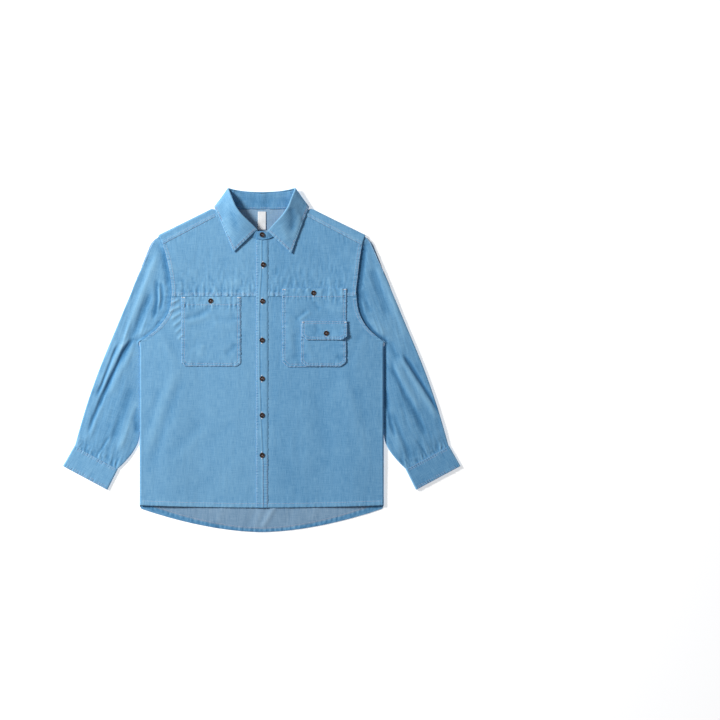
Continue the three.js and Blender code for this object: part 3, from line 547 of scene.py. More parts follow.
def frontRelief(x, y, side, upper):  # lift and tone of the front's own cloth
    seam, edge = body["chestSeam"], sideEdge(side, y)
    lift = 0.42 * foldHeight(frontFolds, x, y) + 0.9 * foldHeight(armholePuckers, x, y)
    lift += 0.22 * soft(x / 46, y / 70, 1.0) + 0.16 * soft(x / 17, y / 30, 2.0)
    lift += 0.2 * soft(x / 8, y / 60, 5.0)
    # painted shade and light: the colour follows the height of the folds, darker in their troughs and paler
    # on their ridges
    tone = 0.3 * lift
    toSeam = abs(y - seam)
    pitch = 5.2 + 1.6 * soft(x / 60, 0.5, 9.0)
    gather = puckers(x, toSeam, 3.0 if upper else 7.0, 20 if upper else 9, pitch)
    fine = (0.6 if upper else 0.45) * gather
    rope = 0.0
    if upper:
        fine += 1.4 * puckers(x, toSeam, 4.0, 46, 6.0) * smooth((230 - abs(x)) / 30)
        band = seamBand(y - seam, *seams["chest"])
        rope += beads(x, toSeam - 6, 3.5, 4.5)
        toYoke = max((frontYoke(x) if abs(x) > body["neckSideX"] else neckCurve(x)) - y, 0)
        fine += 0.55 * puckers(x, toYoke, 11.0, 11, 6.0)
    else:
        toHem = y - frontHem(x)
        band = 0.5 * smooth(toHem / 0.9) * (1 - smooth((toHem - 11) / 2)) - 0.3 * bell(toHem - hemStitch, 1.1)
        rope += 0.8 * beads(x, toHem - 8, 13.5, 5, 7.1)
        fine += 0.75 * puckers(x + 3 * soft(x / 11, 0.1, 2.2), toHem, 13.0, 10, 5.5)
    toArm = abs(edge - abs(x))
    if y > 44:
        band += seamBand(toArm, *seams["armhole"]) * smooth((y - 44) / 10)
        rope += 0.8 * beads(y, toArm - 5, 15.5, 4.5)
        fine += 0.75 * puckers(y, toArm, 15.0, 10, 6.0)
    else:
        fine += 0.35 * puckers(y, toArm, 17.0, 8, 9.0)
        band += 0.3 * bell(toArm - 5, 2.2) * smooth((40 - y) / 10)
    tone += 0.34 * fine + 0.3 * band + 0.24 * rope - 0.3 * bell(toSeam, 1.6) * (0 if upper else 1)
    # painted shade on the left front, away from the light
    tone -= paintedShadeLeftFront(x)
    under = 1 - 0.85 * covered(x, y)
    return (lift + fine * 0.7 + 0.2 * rope) * under + band, tone


def frontTop(x, y):  # the dressed front at a point, for what lies or is sewn on it
    upper = y > body["chestSeam"]
    side = "right" if x < body["split"] else "left"
    lift, _ = frontRelief(x, y, side, upper)
    return x, y, frontHeight(x, y) + lapLip(y) + lift


def frontSurface(sign, side, innerX, upper):
    def at(u, v):
        if upper:
            top = body["neckSideY"]
            for _ in range(6):
                topX = mix(innerX, sign * (sideEdge(side, top) - 0.4), u)
                onNeck = abs(topX) < body["neckSideX"]
                top = neckCurve(topX) + 1.2 if onNeck else frontYoke(topX) - body["gap"]
            y = mix(body["chestSeam"] + 0.05, top, v)
            x = mix(innerX, sign * (sideEdge(side, y) - 0.4), u)
            lift, tone = frontRelief(x, y, side, True)
            return x, y, frontHeight(x, y) + seamLip(y), lift, tone
        hemX = mix(innerX, sign * body["side"], u)
        y = mix(frontHem(hemX), body["chestSeam"] - 0.05, v)
        edge = sideEdge(side, y)
        turnStart = body["frontTurn"]
        turn = clamp((u - turnStart) / (1 - turnStart)) * math.pi / 2
        reach = edge - body["roll"] * (1 - math.sin(turn))
        x = sign * reach
        if u <= turnStart:
            x = mix(innerX, sign * (edge - body["roll"]), u / turnStart)
        top = frontHeight(x, y) + lapLip(y)
        drop = (top - body["seamHeight"] - body["gap"] / 2) * (1 - math.cos(turn)) * sideTurn(y)
        lift, tone = frontRelief(x, y, side, False)
        calm = 1 - 0.75 * smooth((u - turnStart) / 0.06) * sideTurn(y)
        return x, y, top - drop, lift * calm, tone
    return at


def flatUv(u, v, p):  # cloth that was cut as it lies
    return p.x, p.y


frontUs = [u * body["frontTurn"] for u in stations(300, 3.4, (300,), 12, 1.4)][:-1]
frontUs += [body["frontTurn"] + (1 - body["frontTurn"]) * k / 8 for k in range(9)]
for word, sign in sides:
    innerX = body["split"] - (body["gap"] if sign < 0 else 0)
    clothPiece(f"cloth_front_lower_{word}", [f"front_lower_{word}"], frontUs,
               stations(528, 3.6, (0, 410, 528), 15, 1.3), frontSurface(sign, word, innerX, False), flatUv,
               flip=sign < 0)
    clothPiece(f"cloth_front_upper_{word}", [f"front_upper_{word}"], stations(245, 3.0, (0, 245), 14, 1.4),
               stations(190, 2.6, (0, 190), 16, 1.1), frontSurface(sign, word, innerX, True), flatUv,
               flip=sign < 0)
print("fronts made")


backFolds = [  # drapes of the back, grooves when seen from underneath; rises are towards the inside
    crease(8, 1.4, (-106, 240), (-92, 120), (-68, -50), (-58, -120)),
    crease(12, 1.8, (-74, 20), (-58, -120), (-28, -330)),
    crease(6, 1.3, (57, 196), (54, 60), (50, -60)),
    crease(6, 1.5, (31, 90), (28, -20), (25, -130)),
    crease(7, 1.4, (76, 120), (68, -20), (57, -180)),
    crease(8, 1.0, (103, 80), (94, -20), (83, -130)),
    crease(8, 1.0, (142, 236), (138, 150), (133, 70)),
    crease(6, 1.0, (2, 80), (8, -20), (18, -110)),
    crease(10, 1.1, (-160, -40), (-142, -150), (-118, -266)),
    crease(9, 0.9, (-128, 190), (-120, 80), (-104, -60)),
    crease(9, 1.0, (-212, 84), (-232, -20), (-250, -126)),
    crease(11, 0.9, (190, 200), (200, 60), (216, -90)),
    crease(12, 0.8, (160, 20), (166, -120), (158, -250)),
    crease(9, 0.9, (12, -140), (4, -230), (-6, -320)),
]
hemFolds = [  # inside of the back that shows below the front hem
    crease(6, 1.7, (36, -358), (22, -384), (-2, -424)),
    crease(5, -1.1, (-14, -360), (-24, -388), (-40, -420)),
    crease(6, 0.8, (4, -362), (-8, -392), (-18, -426)),
    crease(4, -0.9, (-156, -362), (-159, -378), (-163, -400)),
    crease(9, 0.7, (-96, -360), (-104, -386), (-110, -412)),
    crease(7, -0.8, (84, -360), (72, -386), (62, -414)),
    crease(9, 0.6, (140, -360), (130, -382), (124, -400)),
]


def pleatStep(x, y):  # the edges of the box pleat, opening towards the hem
    deep = bell(x + body["pleat"], 5) * smooth((y + 180) / 160)
    return 0.9 * (deep + 0.5 * bell(x - body["pleat"], 5) * smooth((y - 60) / 120))


def backSurface(u, v):  # right side on the table, wrong side up inside the shirt
    across, sign = abs(2 * u - 1), -1 if u < 0.5 else 1
    hemX = across * body["side"]
    y = mix(backHem(hemX), body["yokeSeam"] - body["gap"] / 2, v)
    edge, start = sideEdge("back", y), body["backTurn"]
    turn = clamp((across - start) / (1 - start)) * math.pi / 2
    x = edge - body["roll"] * (1 - math.sin(turn))
    if across <= start:
        x = (edge - body["roll"]) * across / start
    x *= sign
    rise = (body["seamHeight"] - body["gap"] / 2) * (1 - math.cos(turn)) * sideTurn(y)
    inner = 1 - smooth((across - 0.86) / 0.08)
    lift = max(foldHeight(backFolds, x, y), 0) * inner * smooth((y + 395) / 60)
    lift += pleatStep(x, y) * 1.5
    lift += (0.28 + 0.28 * soft(x / 40, y / 66, 21.0)) * inner
    toHem, toYoke = y - backHem(x), body["yokeSeam"] - y
    show = max(foldHeight(hemFolds, x, y), -0.4) * smooth((-y - 355) / 14) * inner
    fine = 0.9 * abs(puckers(x, toHem, 23.0, 9, 5.0)) + 0.5 * abs(puckers(x, toYoke, 25.0, 12, 7.0))
    fine += 0.4 * abs(puckers(y, edge - abs(x), 27.0, 8, 7.0)) * smooth((y - 44) / 10)
    rope = beads(x, toHem - 5, 23.5, 5, 6.6)
    # painted shade and light: darker in the grooves of the drapes and puckers as seen from underneath, paler
    # on the ridges of the hem's folds
    tone = 0.24 * soft(x / 6, y / 100, 28.0) - 0.3 * lift + 0.2 * show - 0.5 * fine
    tone += 0.4 * rope - 0.3 * bell(toHem - 2, 6)
    rise += 1.05 * bell(math.hypot(abs(x) - 302, y - 50), 7)  # the corner under the arm
    return x, y, rise + (lift + show + 0.6 * fine) * (1 if turn == 0 else 0), 0.0, tone


backPiece = clothPiece("cloth_back", ["back"], stations(600, 3.9, (0, 600), 14, 1.6),
                       stations(672, 3.9, (0, 672), 15, 1.4), backSurface, flatUv, flip=True)
hemDepth = 6.8
for material in (denimFace, denimFace):  # the turned-up hem shows the right side on both faces
    backPiece.data.materials.append(material)
for polygon in backPiece.data.polygons:
    if polygon.center.y / mm < backHem(polygon.center.x / mm) + hemDepth:
        polygon.material_index = 2
print("back made")


yoke = {  # one piece from the back seam over the shoulders to the front seam
    "half": 257.5, "roll": 6, "shoulder": 313, "slope": 0.497, "collarFold": 376.5, "neckFold": 392,
    "neckEnd": 380, "uvFold": 372,
}


def shoulderY(x):
    return yoke["shoulder"] + yoke["slope"] * (yoke["half"] - abs(x))


def foldY(x):
    return mix(yoke["collarFold"], shoulderY(x), smooth((abs(x) - 117) / 12))


def yokeRaise(x, y):  # room for the collar's fall, which lies under the yoke
    return 1.8 * smooth((y - 338) / 16) * smooth((140 - abs(x)) / 22)


def yokeSurface(across, share):  # flat underneath, round the shoulder fold, then on top to the front seam
    base, sign = across * yoke["half"], -1 if across < 0 else 1
    away, side = abs(base), "right" if across < 0 else "left"
    turned = smooth((away - 98) / 9)
    fold, roll = mix(yoke["neckFold"], foldY(base), smooth((away - 95) / 8)), yoke["roll"]
    last = mix((yoke["neckEnd"] - body["yokeSeam"]) / (fold - roll - body["yokeSeam"]), 3, turned)
    v = share * last
    outward = smooth((away - 170) / 87)

    def place(y, onFront):
        edge = sideEdge(side if onFront else "back", y)
        return base + sign * (edge - yoke["half"] - (0.4 if onFront else 0)) * outward
    if v <= 1:
        y = mix(body["yokeSeam"] + body["gap"] / 2, fold - roll, v)
        x = place(y, False)
        fine = puckers(x, y - body["yokeSeam"], 31.0, 11, 7.0)
        band = seamBand(y - body["yokeSeam"], *seams["yokeBack"])
        rub = 0.5 * abs(fine) + 0.16 * (1 + soft(x / 30, y / 20, 33.0))
        tone = 0.15 * band - 0.3 * fine + 0.15 * soft(x / 60, y / 30, 34.0)
        return x, y, yokeRaise(x, y) + 0.5 * rub, 0.0, tone
    low, high = yokeRaise(base, fold - roll), frontHeight(base, fold - roll)
    if v <= 2:
        angle = (v - 1.5) * math.pi
        y = fold - roll * (1 - math.cos(angle))
        x = mix(place(y, False), place(y, True), v - 1)
        return x, y, mix(low, high, (1 + math.sin(angle)) / 2), 0.0, 0.1 * soft(x / 20, v, 35.0)
    end = frontYoke(max(away, body["neckSideX"]))
    for _ in range(6):
        end = frontYoke(max(abs(place(end, True)), body["neckSideX"]))
    end -= 1.2 * max(body["neckSideX"] - away, 0) * 0.75
    y = mix(fold - roll, end, v - 2)
    x = place(y, True)
    band = seamBand(y - end, *seams["yokeFront"])
    fine = puckers(x, y - end, 37.0, 9, 6.0)
    return x, y, frontHeight(x, y), (band + 0.5 * fine) * smooth((v - 2) * 4), 0.25 * band + 0.4 * fine


yokeAcross = [-1 + 2 * k / 150 for k in range(151)]  # with more columns beside the collar
yokeAcross += [s * (0.4 + 0.05 * k / 14) for s in (-1, 1) for k in range(1, 14, 2)]
clothPiece("cloth_yoke", ["yoke"], sorted(yokeAcross), [k / 60 for k in range(61)], yokeSurface,
           lambda u, v, p: (p.x, p.y if v < 0.5 else 2 * yoke["uvFold"] - p.y), flip=True)
print("yoke made")


def placketBase(x, y):  # the band lies over the edges of both fronts
    return frontHeight(x, y) + lapLip(y) + body["wall"] + body["lap"]


placketCrease = rows(  # the pressed line beside the buttons
    "y x", (-372, 2.5), (-250, 1.5), (-120, -4), (0, -6.5), (150, -6.5), (200, -3), (240, -1.3), (305, -1))


def placketRelief(x, y):
    edge = min(x - placket["left"], placket["right"] - x)
    toCrease = x - lookup(placketCrease, "y", "x", y) - 0.8 * soft(y / 40, 0.2, 42.0)
    crease = 0.55 * bell(toCrease, 1.7) - 0.5 * bell(toCrease - 3.1, 1.8)
    rope = beads(y, x - placket["left"] - 3, 41.5, 3.5)
    rope += 0.8 * beads(y, x - 11, 42.5, 6) * smooth((-y - 215) / 50)
    lift = -0.3 * bell(x - placket["left"] - placket["stitchIn"], 1.0) + 0.35 * puckers(y, edge, 41.0, 7, 5.5)
    lift += 0.25 * soft(x / 18, y / 34, 43.0) - 0.25 * bell(edge, 1.0) + crease + 0.2 * rope
    lift += -0.3 * bell(y - frontHem(x) - hemStitch, 1.1)
    fall = placket["edgeDrop"] * bell(placket["right"] - x, 3.4)
    return lift - fall, 0.45 * lift + 0.3 * crease + 0.3 * rope


def placketTop(x, y):  # the dressed band at a point
    return x, y, placketBase(x, y) + placketRelief(x, y)[0]


def placketSurface(u, v):
    x = mix(placket["left"], placket["right"], u)
    y = mix(frontHem(x), body["neckFront"] + 1.0, v)
    lift, tone = placketRelief(x, y)
    return x, y, placketBase(x, y), lift, tone


clothPiece("cloth_placket", ["placket"], [k / 20 for k in range(21)],
           stations(667, 3.2, (0, 528, 667), 9, 1.6), placketSurface, lambda u, v, p: (p.x + 400, p.y))


def patchBase(name, x, y):  # the flap's free edge stands off the small pocket
    patch = patches[name]
    lifted = (3 * smooth((x - 175) / 40) + 1.1) * smooth((85 - y) / 35) if name == "pocket_flap_left" else 0
    lip = lapLip(y) if patch["top"] > body["chestSeam"] else 0
    return frontHeight(x, y) + lip + (patch["over"] + 1) * (body["wall"] + body["lap"]) + lifted


def patchBottom(patch, x):
    middle, half = (patch["left"] + patch["right"]) / 2, (patch["right"] - patch["left"]) / 2
    t = clamp((abs(x - middle) - half + patch["corner"]) / patch["corner"])
    return patch["bottom"] + patch["corner"] * 0.8 * t ** 1.25


flapRows = (2, 6.5)  # stitches below the flap's top edge
bandStitch = 2.2     # the row above the lower edge of a pocket's turned-in band


def patchRelief(name, x, y):
    patch = patches[name]
    toSide, toBottom = min(x - patch["left"], patch["right"] - x), y - patchBottom(patch, x)
    toTop, edge = patch["top"] - y, min(toSide, toBottom)
    run = y if toSide < toBottom else x
    lift = 0.0
    seed = 50.0 + 7 * patch["over"] + (3 if patch["left"] > 0 else 0)
    fine = puckers(run, edge, seed, 9, 5.0)
    rope = beads(run, edge - 4.7, seed + 0.5, 4.2)
    for inset in patch["stitch"]:
        lift -= 0.3 * bell(edge - inset, 0.9)
    if name == "pocket_flap_left":
        lift -= 0.3 * bell(toTop - flapRows[0], 0.9) + 0.3 * bell(toTop - flapRows[1], 0.9)
        fine += 0.5 * puckers(x, toTop, seed + 1, 8, 5.5)
        rope += beads(x, toTop - 4.2, seed + 1.5, 4)
    if patch["band"]:
        fine += 1.1 * puckers(x, abs(toTop - patch["band"]), seed + 2, 8, 5.5)
        fine += puckers(x, toTop, seed + 3, 14, 7.0)
        rope += 0.8 * beads(x, toTop - patch["band"] + 1, seed + 2.5, 3.6)
        lift += 0.35 * smooth((patch["band"] + 0.6 - toTop) / 0.9)
        lift -= 0.3 * bell(toTop - patch["band"] + bandStitch, 0.9)
    lift += 0.4 * soft(x / 34, y / 30, seed + 4) + 0.22 * soft(x / 13, y / 16, seed + 5)
    lift += 0.12 * soft(x / 6, y / 40, seed + 6)
    lift += 0.8 * foldHeight(patch["folds"], x, y) * smooth(edge / 6)
    # painted shade and light: the colour follows the creases, darker in their troughs and paler on their
    # ridges
    tone = 0.45 * fine + 0.3 * lift + 0.1 * bell(edge, 2.5) + 0.24 * rope
    # painted shade on the pockets of the left front, away from the light
    return lift - 0.45 * bell(edge, 0.9) + fine * 0.7 + 0.24 * rope, tone - paintedShadeLeftFront(x)


def patchTop(name):
    return lambda x, y: (x, y, patchBase(name, x, y) + patchRelief(name, x, y)[0])


for name, patch in patches.items():
    width, height = patch["right"] - patch["left"], patch["top"] - patch["bottom"]

    def patchSurface(u, v, name=name, patch=patch):
        x = mix(patch["left"], patch["right"], u)
        y = mix(patchBottom(patch, x), patch["top"], v)
        lift, tone = patchRelief(name, x, y)
        return x, y, patchBase(name, x, y), lift, tone
    fine = (0, height, height - patch["band"]) if patch["band"] else (0, height)
    clothPiece("cloth_" + name, [name], stations(width, 2.4, (0, width), 10, 1.0),
               stations(height, 2.6, fine, 10, 1.0), patchSurface,
               lambda u, v, p, shift=patch["left"] * 3: (p.x + shift, p.y + shift))
print("placket and pockets made")


# The fall and the stand of the collar are tangent to a small roll at its top. Along them, "at" is 0 in the
# middle of the back, 12 at the front ends and 13 at the ends of the stand's tabs. n is the neck line, r the
# top of the roll and f the outer edge of the fall.
collarLines = rows(
    "at nx ny nz rx ry rz fx fy fz",
    (0, 0, 377, 2.9, 0, 420, 7.6, 0, 360, .65),
    (1, 45, 377.1, 2.9, 38, 421.5, 8.2, 45, 362, .65),
    (2, 80, 377.6, 3, 66, 425.5, 9.5, 82, 368, .65),
    (3, 96, 378.6, 3.9, 78, 428.5, 11.5, 104, 376.5, .9),
    (4, 101, 378, 6, 82.8, 427.5, 14, 117, 384, 5.6),
    (5, 104, 370, 8.4, 78, 415, 21.5, 117, 379, 10.4),
    (6, 103.5, 358, 9, 72, 400, 25.5, 110, 363, 11.2),
    (7, 94, 345.5, 8.8, 64, 383, 27.5, 102, 345, 11.2),
    (8, 77, 333.8, 8.6, 51, 365, 27, 93.5, 325, 11.1),
    (9, 56, 321.4, 8.3, 37, 351, 24.5, 86, 307, 11.2),
    (10, 35, 310.8, 8.1, 25, 339.5, 21, 79.5, 291.5, 11.4),
    (11, 20, 304.4, 8, 16, 330.5, 17.5, 74.5, 279.5, 11.5),
    (12, 12, 302, 8, 10.8, 325, 14.8, 70.3, 269.8, 11.9))
collar = {"roll": 2.4, "pointX": 3.5, "pointY": -4, "rollShare": 0.2, "stitchIn": 4.6, "tabEnd": 12.3,
          "step": 21}  # step: mm of cloth along the collar for 1 of "at"
collarFrames = {}


def collarFrame(c):
    key = round(c, 6)
    if key in collarFrames:
        return collarFrames[key]
    at, sign = clamp(abs(c), 0, 12), -1 if c < 0 else 1

    def read(letter):
        x, y, z = (lookup(collarLines, "at", letter + axis, at) for axis in "xyz")
        return Vector((sign * x, y, z))
    neck, roll, fall = read("n"), read("r"), read("f")
    shift = smooth((at - 5) / 7) if sign > 0 else 0
    for point in (fall, roll):
        point.x += collar["pointX"] * shift
        point.y += collar["pointY"] * shift
    over = 0.75 * smooth((at - 8) / 3) * sign
    neck.z += over
    roll.z += over
    toNeck, toFall = (neck - roll).normalized(), (fall - roll).normalized()
    out = -(toNeck + toFall).normalized()
    across = (toFall - out * toFall.dot(out)).normalized()
    centre = roll - out * collar["roll"]

    def tangent(point, side):
        away = point - centre
        return math.atan2(away.dot(across), away.dot(out)) - side * math.acos(collar["roll"] / away.length)

    def onRoll(angle):
        return centre + (out * math.cos(angle) + across * math.sin(angle)) * collar["roll"]
    collarFrames[key] = (neck, fall, onRoll, tangent(neck, -1), tangent(fall, 1), at)
    return collarFrames[key]


def fallPlain(c, v):
    neck, fall, onRoll, neckAngle, fallAngle, at = collarFrame(c)
    start = neckAngle + 0.5 / collar["roll"]
    if v <= collar["rollShare"]:
        return onRoll(mix(start, fallAngle, v / collar["rollShare"]))
    leg = (v - collar["rollShare"]) / (1 - collar["rollShare"])
    top = onRoll(fallAngle)
    hug = mix(2.2, 1, smooth((at - 2.5) / 2))
    z = fall.z + (top.z - fall.z) * (1 - leg) ** hug
    return Vector((mix(top.x, fall.x, leg), mix(top.y, fall.y, leg), z))


collarEnds = {sign: [tuple(fallPlain(sign * 12, v / 8)[:2]) for v in range(0, 9)] for sign in (-1, 1)}


def collarAway(c, v):  # distance to the outer edge along the cloth, and in plan to the front end
    length = (fallPlain(c, 1) - fallPlain(c, collar["rollShare"])).length
    point = fallPlain(c, v)
    end = polyline(collarEnds[-1 if c < 0 else 1], point.x, point.y)[0] if abs(c) > 8 else 99.0
    return (1 - v) / (1 - collar["rollShare"]) * length, end


collarFolds = [  # on the leaves, seen from above
    crease(11, 0.8, (-98, 356), (-84, 330), (-76, 304)),
    crease(8, -0.6, (-76, 372), (-66, 340), (-60, 312)),
    crease(9, -1.2, (74, 384), (78, 352), (76, 318)),
    crease(9, 1.1, (98, 366), (92, 336), (82, 300)),
    crease(8, 0.7, (46, 340), (58, 318), (66, 296)),
]


def fallSurface(c, v):
    point = fallPlain(c, v)
    outerAway, endAway = collarAway(c, v)
    onLeg = smooth((v - collar["rollShare"]) / 0.1)
    edge = min(outerAway, endAway)
    lift = -0.32 * bell(edge - collar["stitchIn"], 1.0) * onLeg
    lift += 0.5 * puckers(c * 11, edge, 61.0, 8, 6.0) * onLeg
    below = abs(c) < 3.4
    if not below:
        lift += foldHeight(collarFolds, point.x, point.y) * onLeg * smooth((abs(c) - 3.4) / 1.5)
    lift += 0.35 * soft(c * 0.8, v * 3, 62.0) * onLeg - 0.4 * bell(edge, 0.8) * onLeg
    rope = beads(c * collar["step"] if outerAway < endAway else v * 62, edge - 3.6, 63.0, 3.6) * onLeg
    # painted shade and light: the colour follows the leaves' creases, darker in their troughs and paler on
    # their ridges
    tone = 0.4 * lift + 0.3 * bell(v - 0.1, 0.1) + 0.3 * bell(edge, 1.5) * onLeg + 0.42 * rope
    lift += 0.22 * rope
    if below:
        lift = min(-lift, 0.05) - 0.1
    return point.x, point.y, point.z, lift, tone


def fallLength(c):
    return (fallPlain(c, 1) - fallPlain(c, 0)).length


collarHalf = [k * 0.1 for k in range(0, 116)] + [11.6, 11.7, 11.8, 11.88, 11.94, 12.0]
collarAround = [-c for c in collarHalf[:0:-1]] + collarHalf
fallVs = [k / 50 for k in range(11)] + [0.2 + 0.8 * k / 34 for k in range(1, 30)]
fallVs += [0.905, 0.925, 0.944, 0.96, 0.974, 0.987, 1]
clothPiece("cloth_collar", ["collar"], collarAround, fallVs, fallSurface,
           lambda c, v, p: (fallLength(c) * v + 700, c * collar["step"]), thickness=1.1, centred=True,
           inside=False)


def standPlain(c, v):
    low, onRoll, neckAngle = (collarFrame(c)[k] for k in (0, 2, 3))
    sign, top = -1 if c < 0 else 1, onRoll(neckAngle)
    up = v * (1 - 0.9 / (top - low).length)
    point = low.lerp(top, up)
    past = abs(c) - 12
    if past > 0:
        endX = -collar["tabEnd"] if sign > 0 else collar["tabEnd"]
        bulge = 4 * past ** 3 * (v - 0.5) * 2
        x = mix(point.x, endX, past)
        y = mix(neckCurve(x) + 0.7, mix(top.y, 322.4, past), v) - bulge
        point = Vector((x, mix(point.y, y, min(past * 3, 1)), point.z - 0.4 * v * past))
    return point


def standSurface(c, v):
    point = standPlain(c, v)
    height = (standPlain(c, 1) - standPlain(c, 0)).length
    away = min(v, 1 - v) * height
    lift = 0.28 * bell(v * height - 2.4, 0.9) - 0.18 * bell(v - 0.5, 0.3)
    lift += 0.9 * soft(c * 1.6, v * 1.4, 71.0) + 0.5 * puckers(c * 14, v * height, 72.0, 16, 6.0)
    if abs(c) > 3:
        lift *= 0.4
    lift -= 0.5 * bell(v * height, 1.5) + 0.9 * smooth((c - 9) / 2) * bell(v * height, 2.5)
    # painted shade: the whole stand is darkened as it lies in the shade of the collar, more so at its edges
    # and in its creases
    tone = 0.35 * lift + 0.1 * soft(c * 0.5, v, 73.0) - 0.12 * bell(away, 2) - 0.3
    return point.x, point.y, point.z, lift, tone


tabHalf = collarHalf + [12 + k * 0.1 for k in range(1, 10)] + [12.95, 13.0]
clothPiece("cloth_collar_stand", ["collar_stand"], [-c for c in tabHalf[:0:-1]] + tabHalf,
           [k / 16 for k in range(17)], standSurface, lambda c, v, p: (c * collar["step"] + 1200, v * 42),
           thickness=1.1, centred=True, inside=False)

labelLook = {"left": -9.5, "right": 10.8, "top": 371.5, "bottom": 326, "thickness": 0.6}


def labelSurface(u, v):  # dense woven tape, sewn on above and standing off a little below
    x, y = mix(labelLook["left"], labelLook["right"], u), mix(labelLook["bottom"], labelLook["top"], v)
    curl = 0.5 * bell(u - 0.5, 0.3) * (1 - v) + 0.15 * soft(x / 7, y / 9, 81.0)
    z = yokeRaise(x, y) + body["wall"] + body["gap"] + labelLook["thickness"] + 0.1 + 0.6 * (1 - v) ** 2
    return x, y, z, curl, 0.0


clothPiece("cloth_neck_label", ["neck_label"], [k / 14 for k in range(15)], [k / 26 for k in range(27)],
           labelSurface, flatUv, thickness=0.5, inside=False, materials=[tape])
print("collar, stand and label made")


sleeveOuter = measured(rows(  # plan of the left sleeve's outer edge, from the shoulder to the cuff
    "x y", (250, 311), (257.5, 308.5), (264, 302.5), (270, 294), (287.5, 255), (320, 184), (358, 94),
    (404, -17), (433, -98), (452, -160), (467.5, -215.2)))
sleeveInner = measured(rows(
    "x y", (292, 50.5), (299, 48.5), (304.5, 46.5), (306.2, 41), (305, 30), (304.6, -20), (304.6, -90),
    (304.8, -165), (307.3, -200), (320, -227), (341.8, -254), (360.5, -272.2)))
innerPace = rows(
    "l share", (0, 0), (0.16, 0.012), (0.32, 0.03), (0.5, 0.1), (0.6, 0.25), (0.72, 0.46), (1, 1))
sleeve = {"length": 570, "height": 6.9, "roll": 3, "armholeInset": 8, "foldShare": 0.14,
          "grain": (0.957, 0.29)}
cuff = {"outerX": 468.8, "outerY": -215, "innerX": 360, "innerY": -273.3, "depth": 56.5, "flare": 3,
        "height": 6.9, "roll": 3.4, "tuck": 1.3, "over": 63, "under": 38, "buttonAt": 44, "buttonShare": 0.52,
        "stitch": (2.2, 6.4)}
strip = {"topX": 386, "topY": -118, "bottomX": 425, "bottomY": -235, "width": 26, "thickness": 1.05,
         "buttonX": 407, "buttonY": -200}
sleeveFolds = {  # lines in the plan of a sleeve, with the body on the left
    -1: [
        crease(4.4, -2.9, (300, 57), (325, 48), (347, 18), (369, -30), (392, -80), (421, -146), (441, -206)),
        crease(7, 1.0, (316, 66), (350, 32), (378, -26), (402, -80), (426, -136)),
        crease(8, 1.0, (311, 38), (336, 2), (360, -44), (384, -96)),
        crease(9, 0.7, (286, 66), (318, 62), (350, 10), (376, -36)),
        crease(3.8, -2.7, (356, 46), (371, 12), (397, -57), (414, -94)),
        crease(4.5, -2.4, (262, 205), (262, 150), (272, 98)),
        crease(3.6, 1.2, (257, 190), (255, 150), (262, 112)),
        crease(3.6, -1.8, (251, 196), (248, 152), (254, 122)),
        crease(8, 1.3, (357, 52), (382, -12), (409, -80)),
        crease(8, 1.1, (380, 50), (404, -8), (432, -84)),
        crease(10, 1.2, (254, 285), (300, 166), (340, 60), (366, -20), steep=-1),
        crease(9, -1.8, (272, 182), (316, 76), (362, -24)),
        crease(5, -1.2, (247, 276), (238, 226), (234, 180)),
        crease(10, -0.8, (276, 268), (300, 214), (330, 140)),
        crease(9, 0.8, (292, 252), (316, 196), (344, 128)),
        crease(4, -1.3, (379, -188), (400, -222), (423, -252), steep=1),
        crease(7, -1.8, (309, -112), (316, -148), (309, -186)),
        crease(10, 1.4, (304, -92), (330, -162), (360, -234)),
        crease(9, -1.1, (322, -60), (346, -130), (378, -214)),
        crease(8, 1.1, (400, -104), (424, -164), (446, -208)),
        crease(9, 1.0, (262, 120), (284, 96), (304, 60)),
        crease(7, -1.0, (250, 140), (270, 116), (292, 72)),
    ],
    1: [
        crease(7, -1.9, (317, -4), (346, -60), (376, -117), (400, -166), (419, -204)),
        crease(5, -2.4, (308, -66), (314, -118), (322, -160), (336, -196)),
        crease(9, 1.1, (330, -2), (362, -64), (396, -134)),
        crease(8, -1.3, (320, -122), (346, -184), (374, -248)),
        crease(9, 1.0, (312, -110), (332, -176), (352, -236)),
        crease(3.8, -3.4, (350, 20), (373, -14), (394, -48), (429, -104), (458, -154)),
        crease(7, 1.5, (342, 16), (364, -22), (385, -56), (420, -112), (444, -156)),
        crease(9, 0.9, (286, 244), (312, 182), (352, 90), (366, 54)),
        crease(11, -1.0, (272, 236), (296, 166), (322, 96)),
        crease(8, -1.2, (300, 66), (326, 30), (344, -4)),
        crease(9, 0.9, (272, 104), (298, 76), (326, 40)),
        crease(7, -0.9, (252, 180), (258, 150), (274, 116)),
        crease(4, -1.0, (384, -196), (404, -226), (424, -254), steep=1),
    ],
}
underFolds = [  # undersides of both sleeves, pressed upwards
    crease(10, 1.4, (300, 210), (336, 110), (372, 10)),
    crease(9, 1.5, (322, 30), (352, -50), (372, -110)),
    crease(9, 1.2, (330, -90), (340, -160), (356, -226)),
    crease(8, 1.1, (416, -60), (430, -110), (444, -170)),
    crease(9, 1.0, (276, 250), (292, 200), (300, 150)),
]


def pointAt(table, share):
    return {"x": lookup(table, "share", "x", share), "y": lookup(table, "share", "y", share)}


def armholeLine(column, inset):  # armhole edge set back into the body, from the shoulder to the underarm
    ys = [mix(308, 53, k / 60) for k in range(61)]
    points = [(lookup(armholes, "y", column, y), y) for y in ys]
    line = []
    for i, (x, y) in enumerate(points):
        a, b = points[max(i - 1, 0)], points[min(i + 1, 60)]
        length = math.dist(a, b)
        depth = inset * smooth(i / 7) * mix(1, 0.5, smooth((i - 45) / 15))
        line.append({"x": x + depth * (b[1] - a[1]) / length, "y": y - depth * (b[0] - a[0]) / length})
    line[0], line[-1] = {"x": 250, "y": 311}, {"x": 292, "y": 51}
    return measured(line)


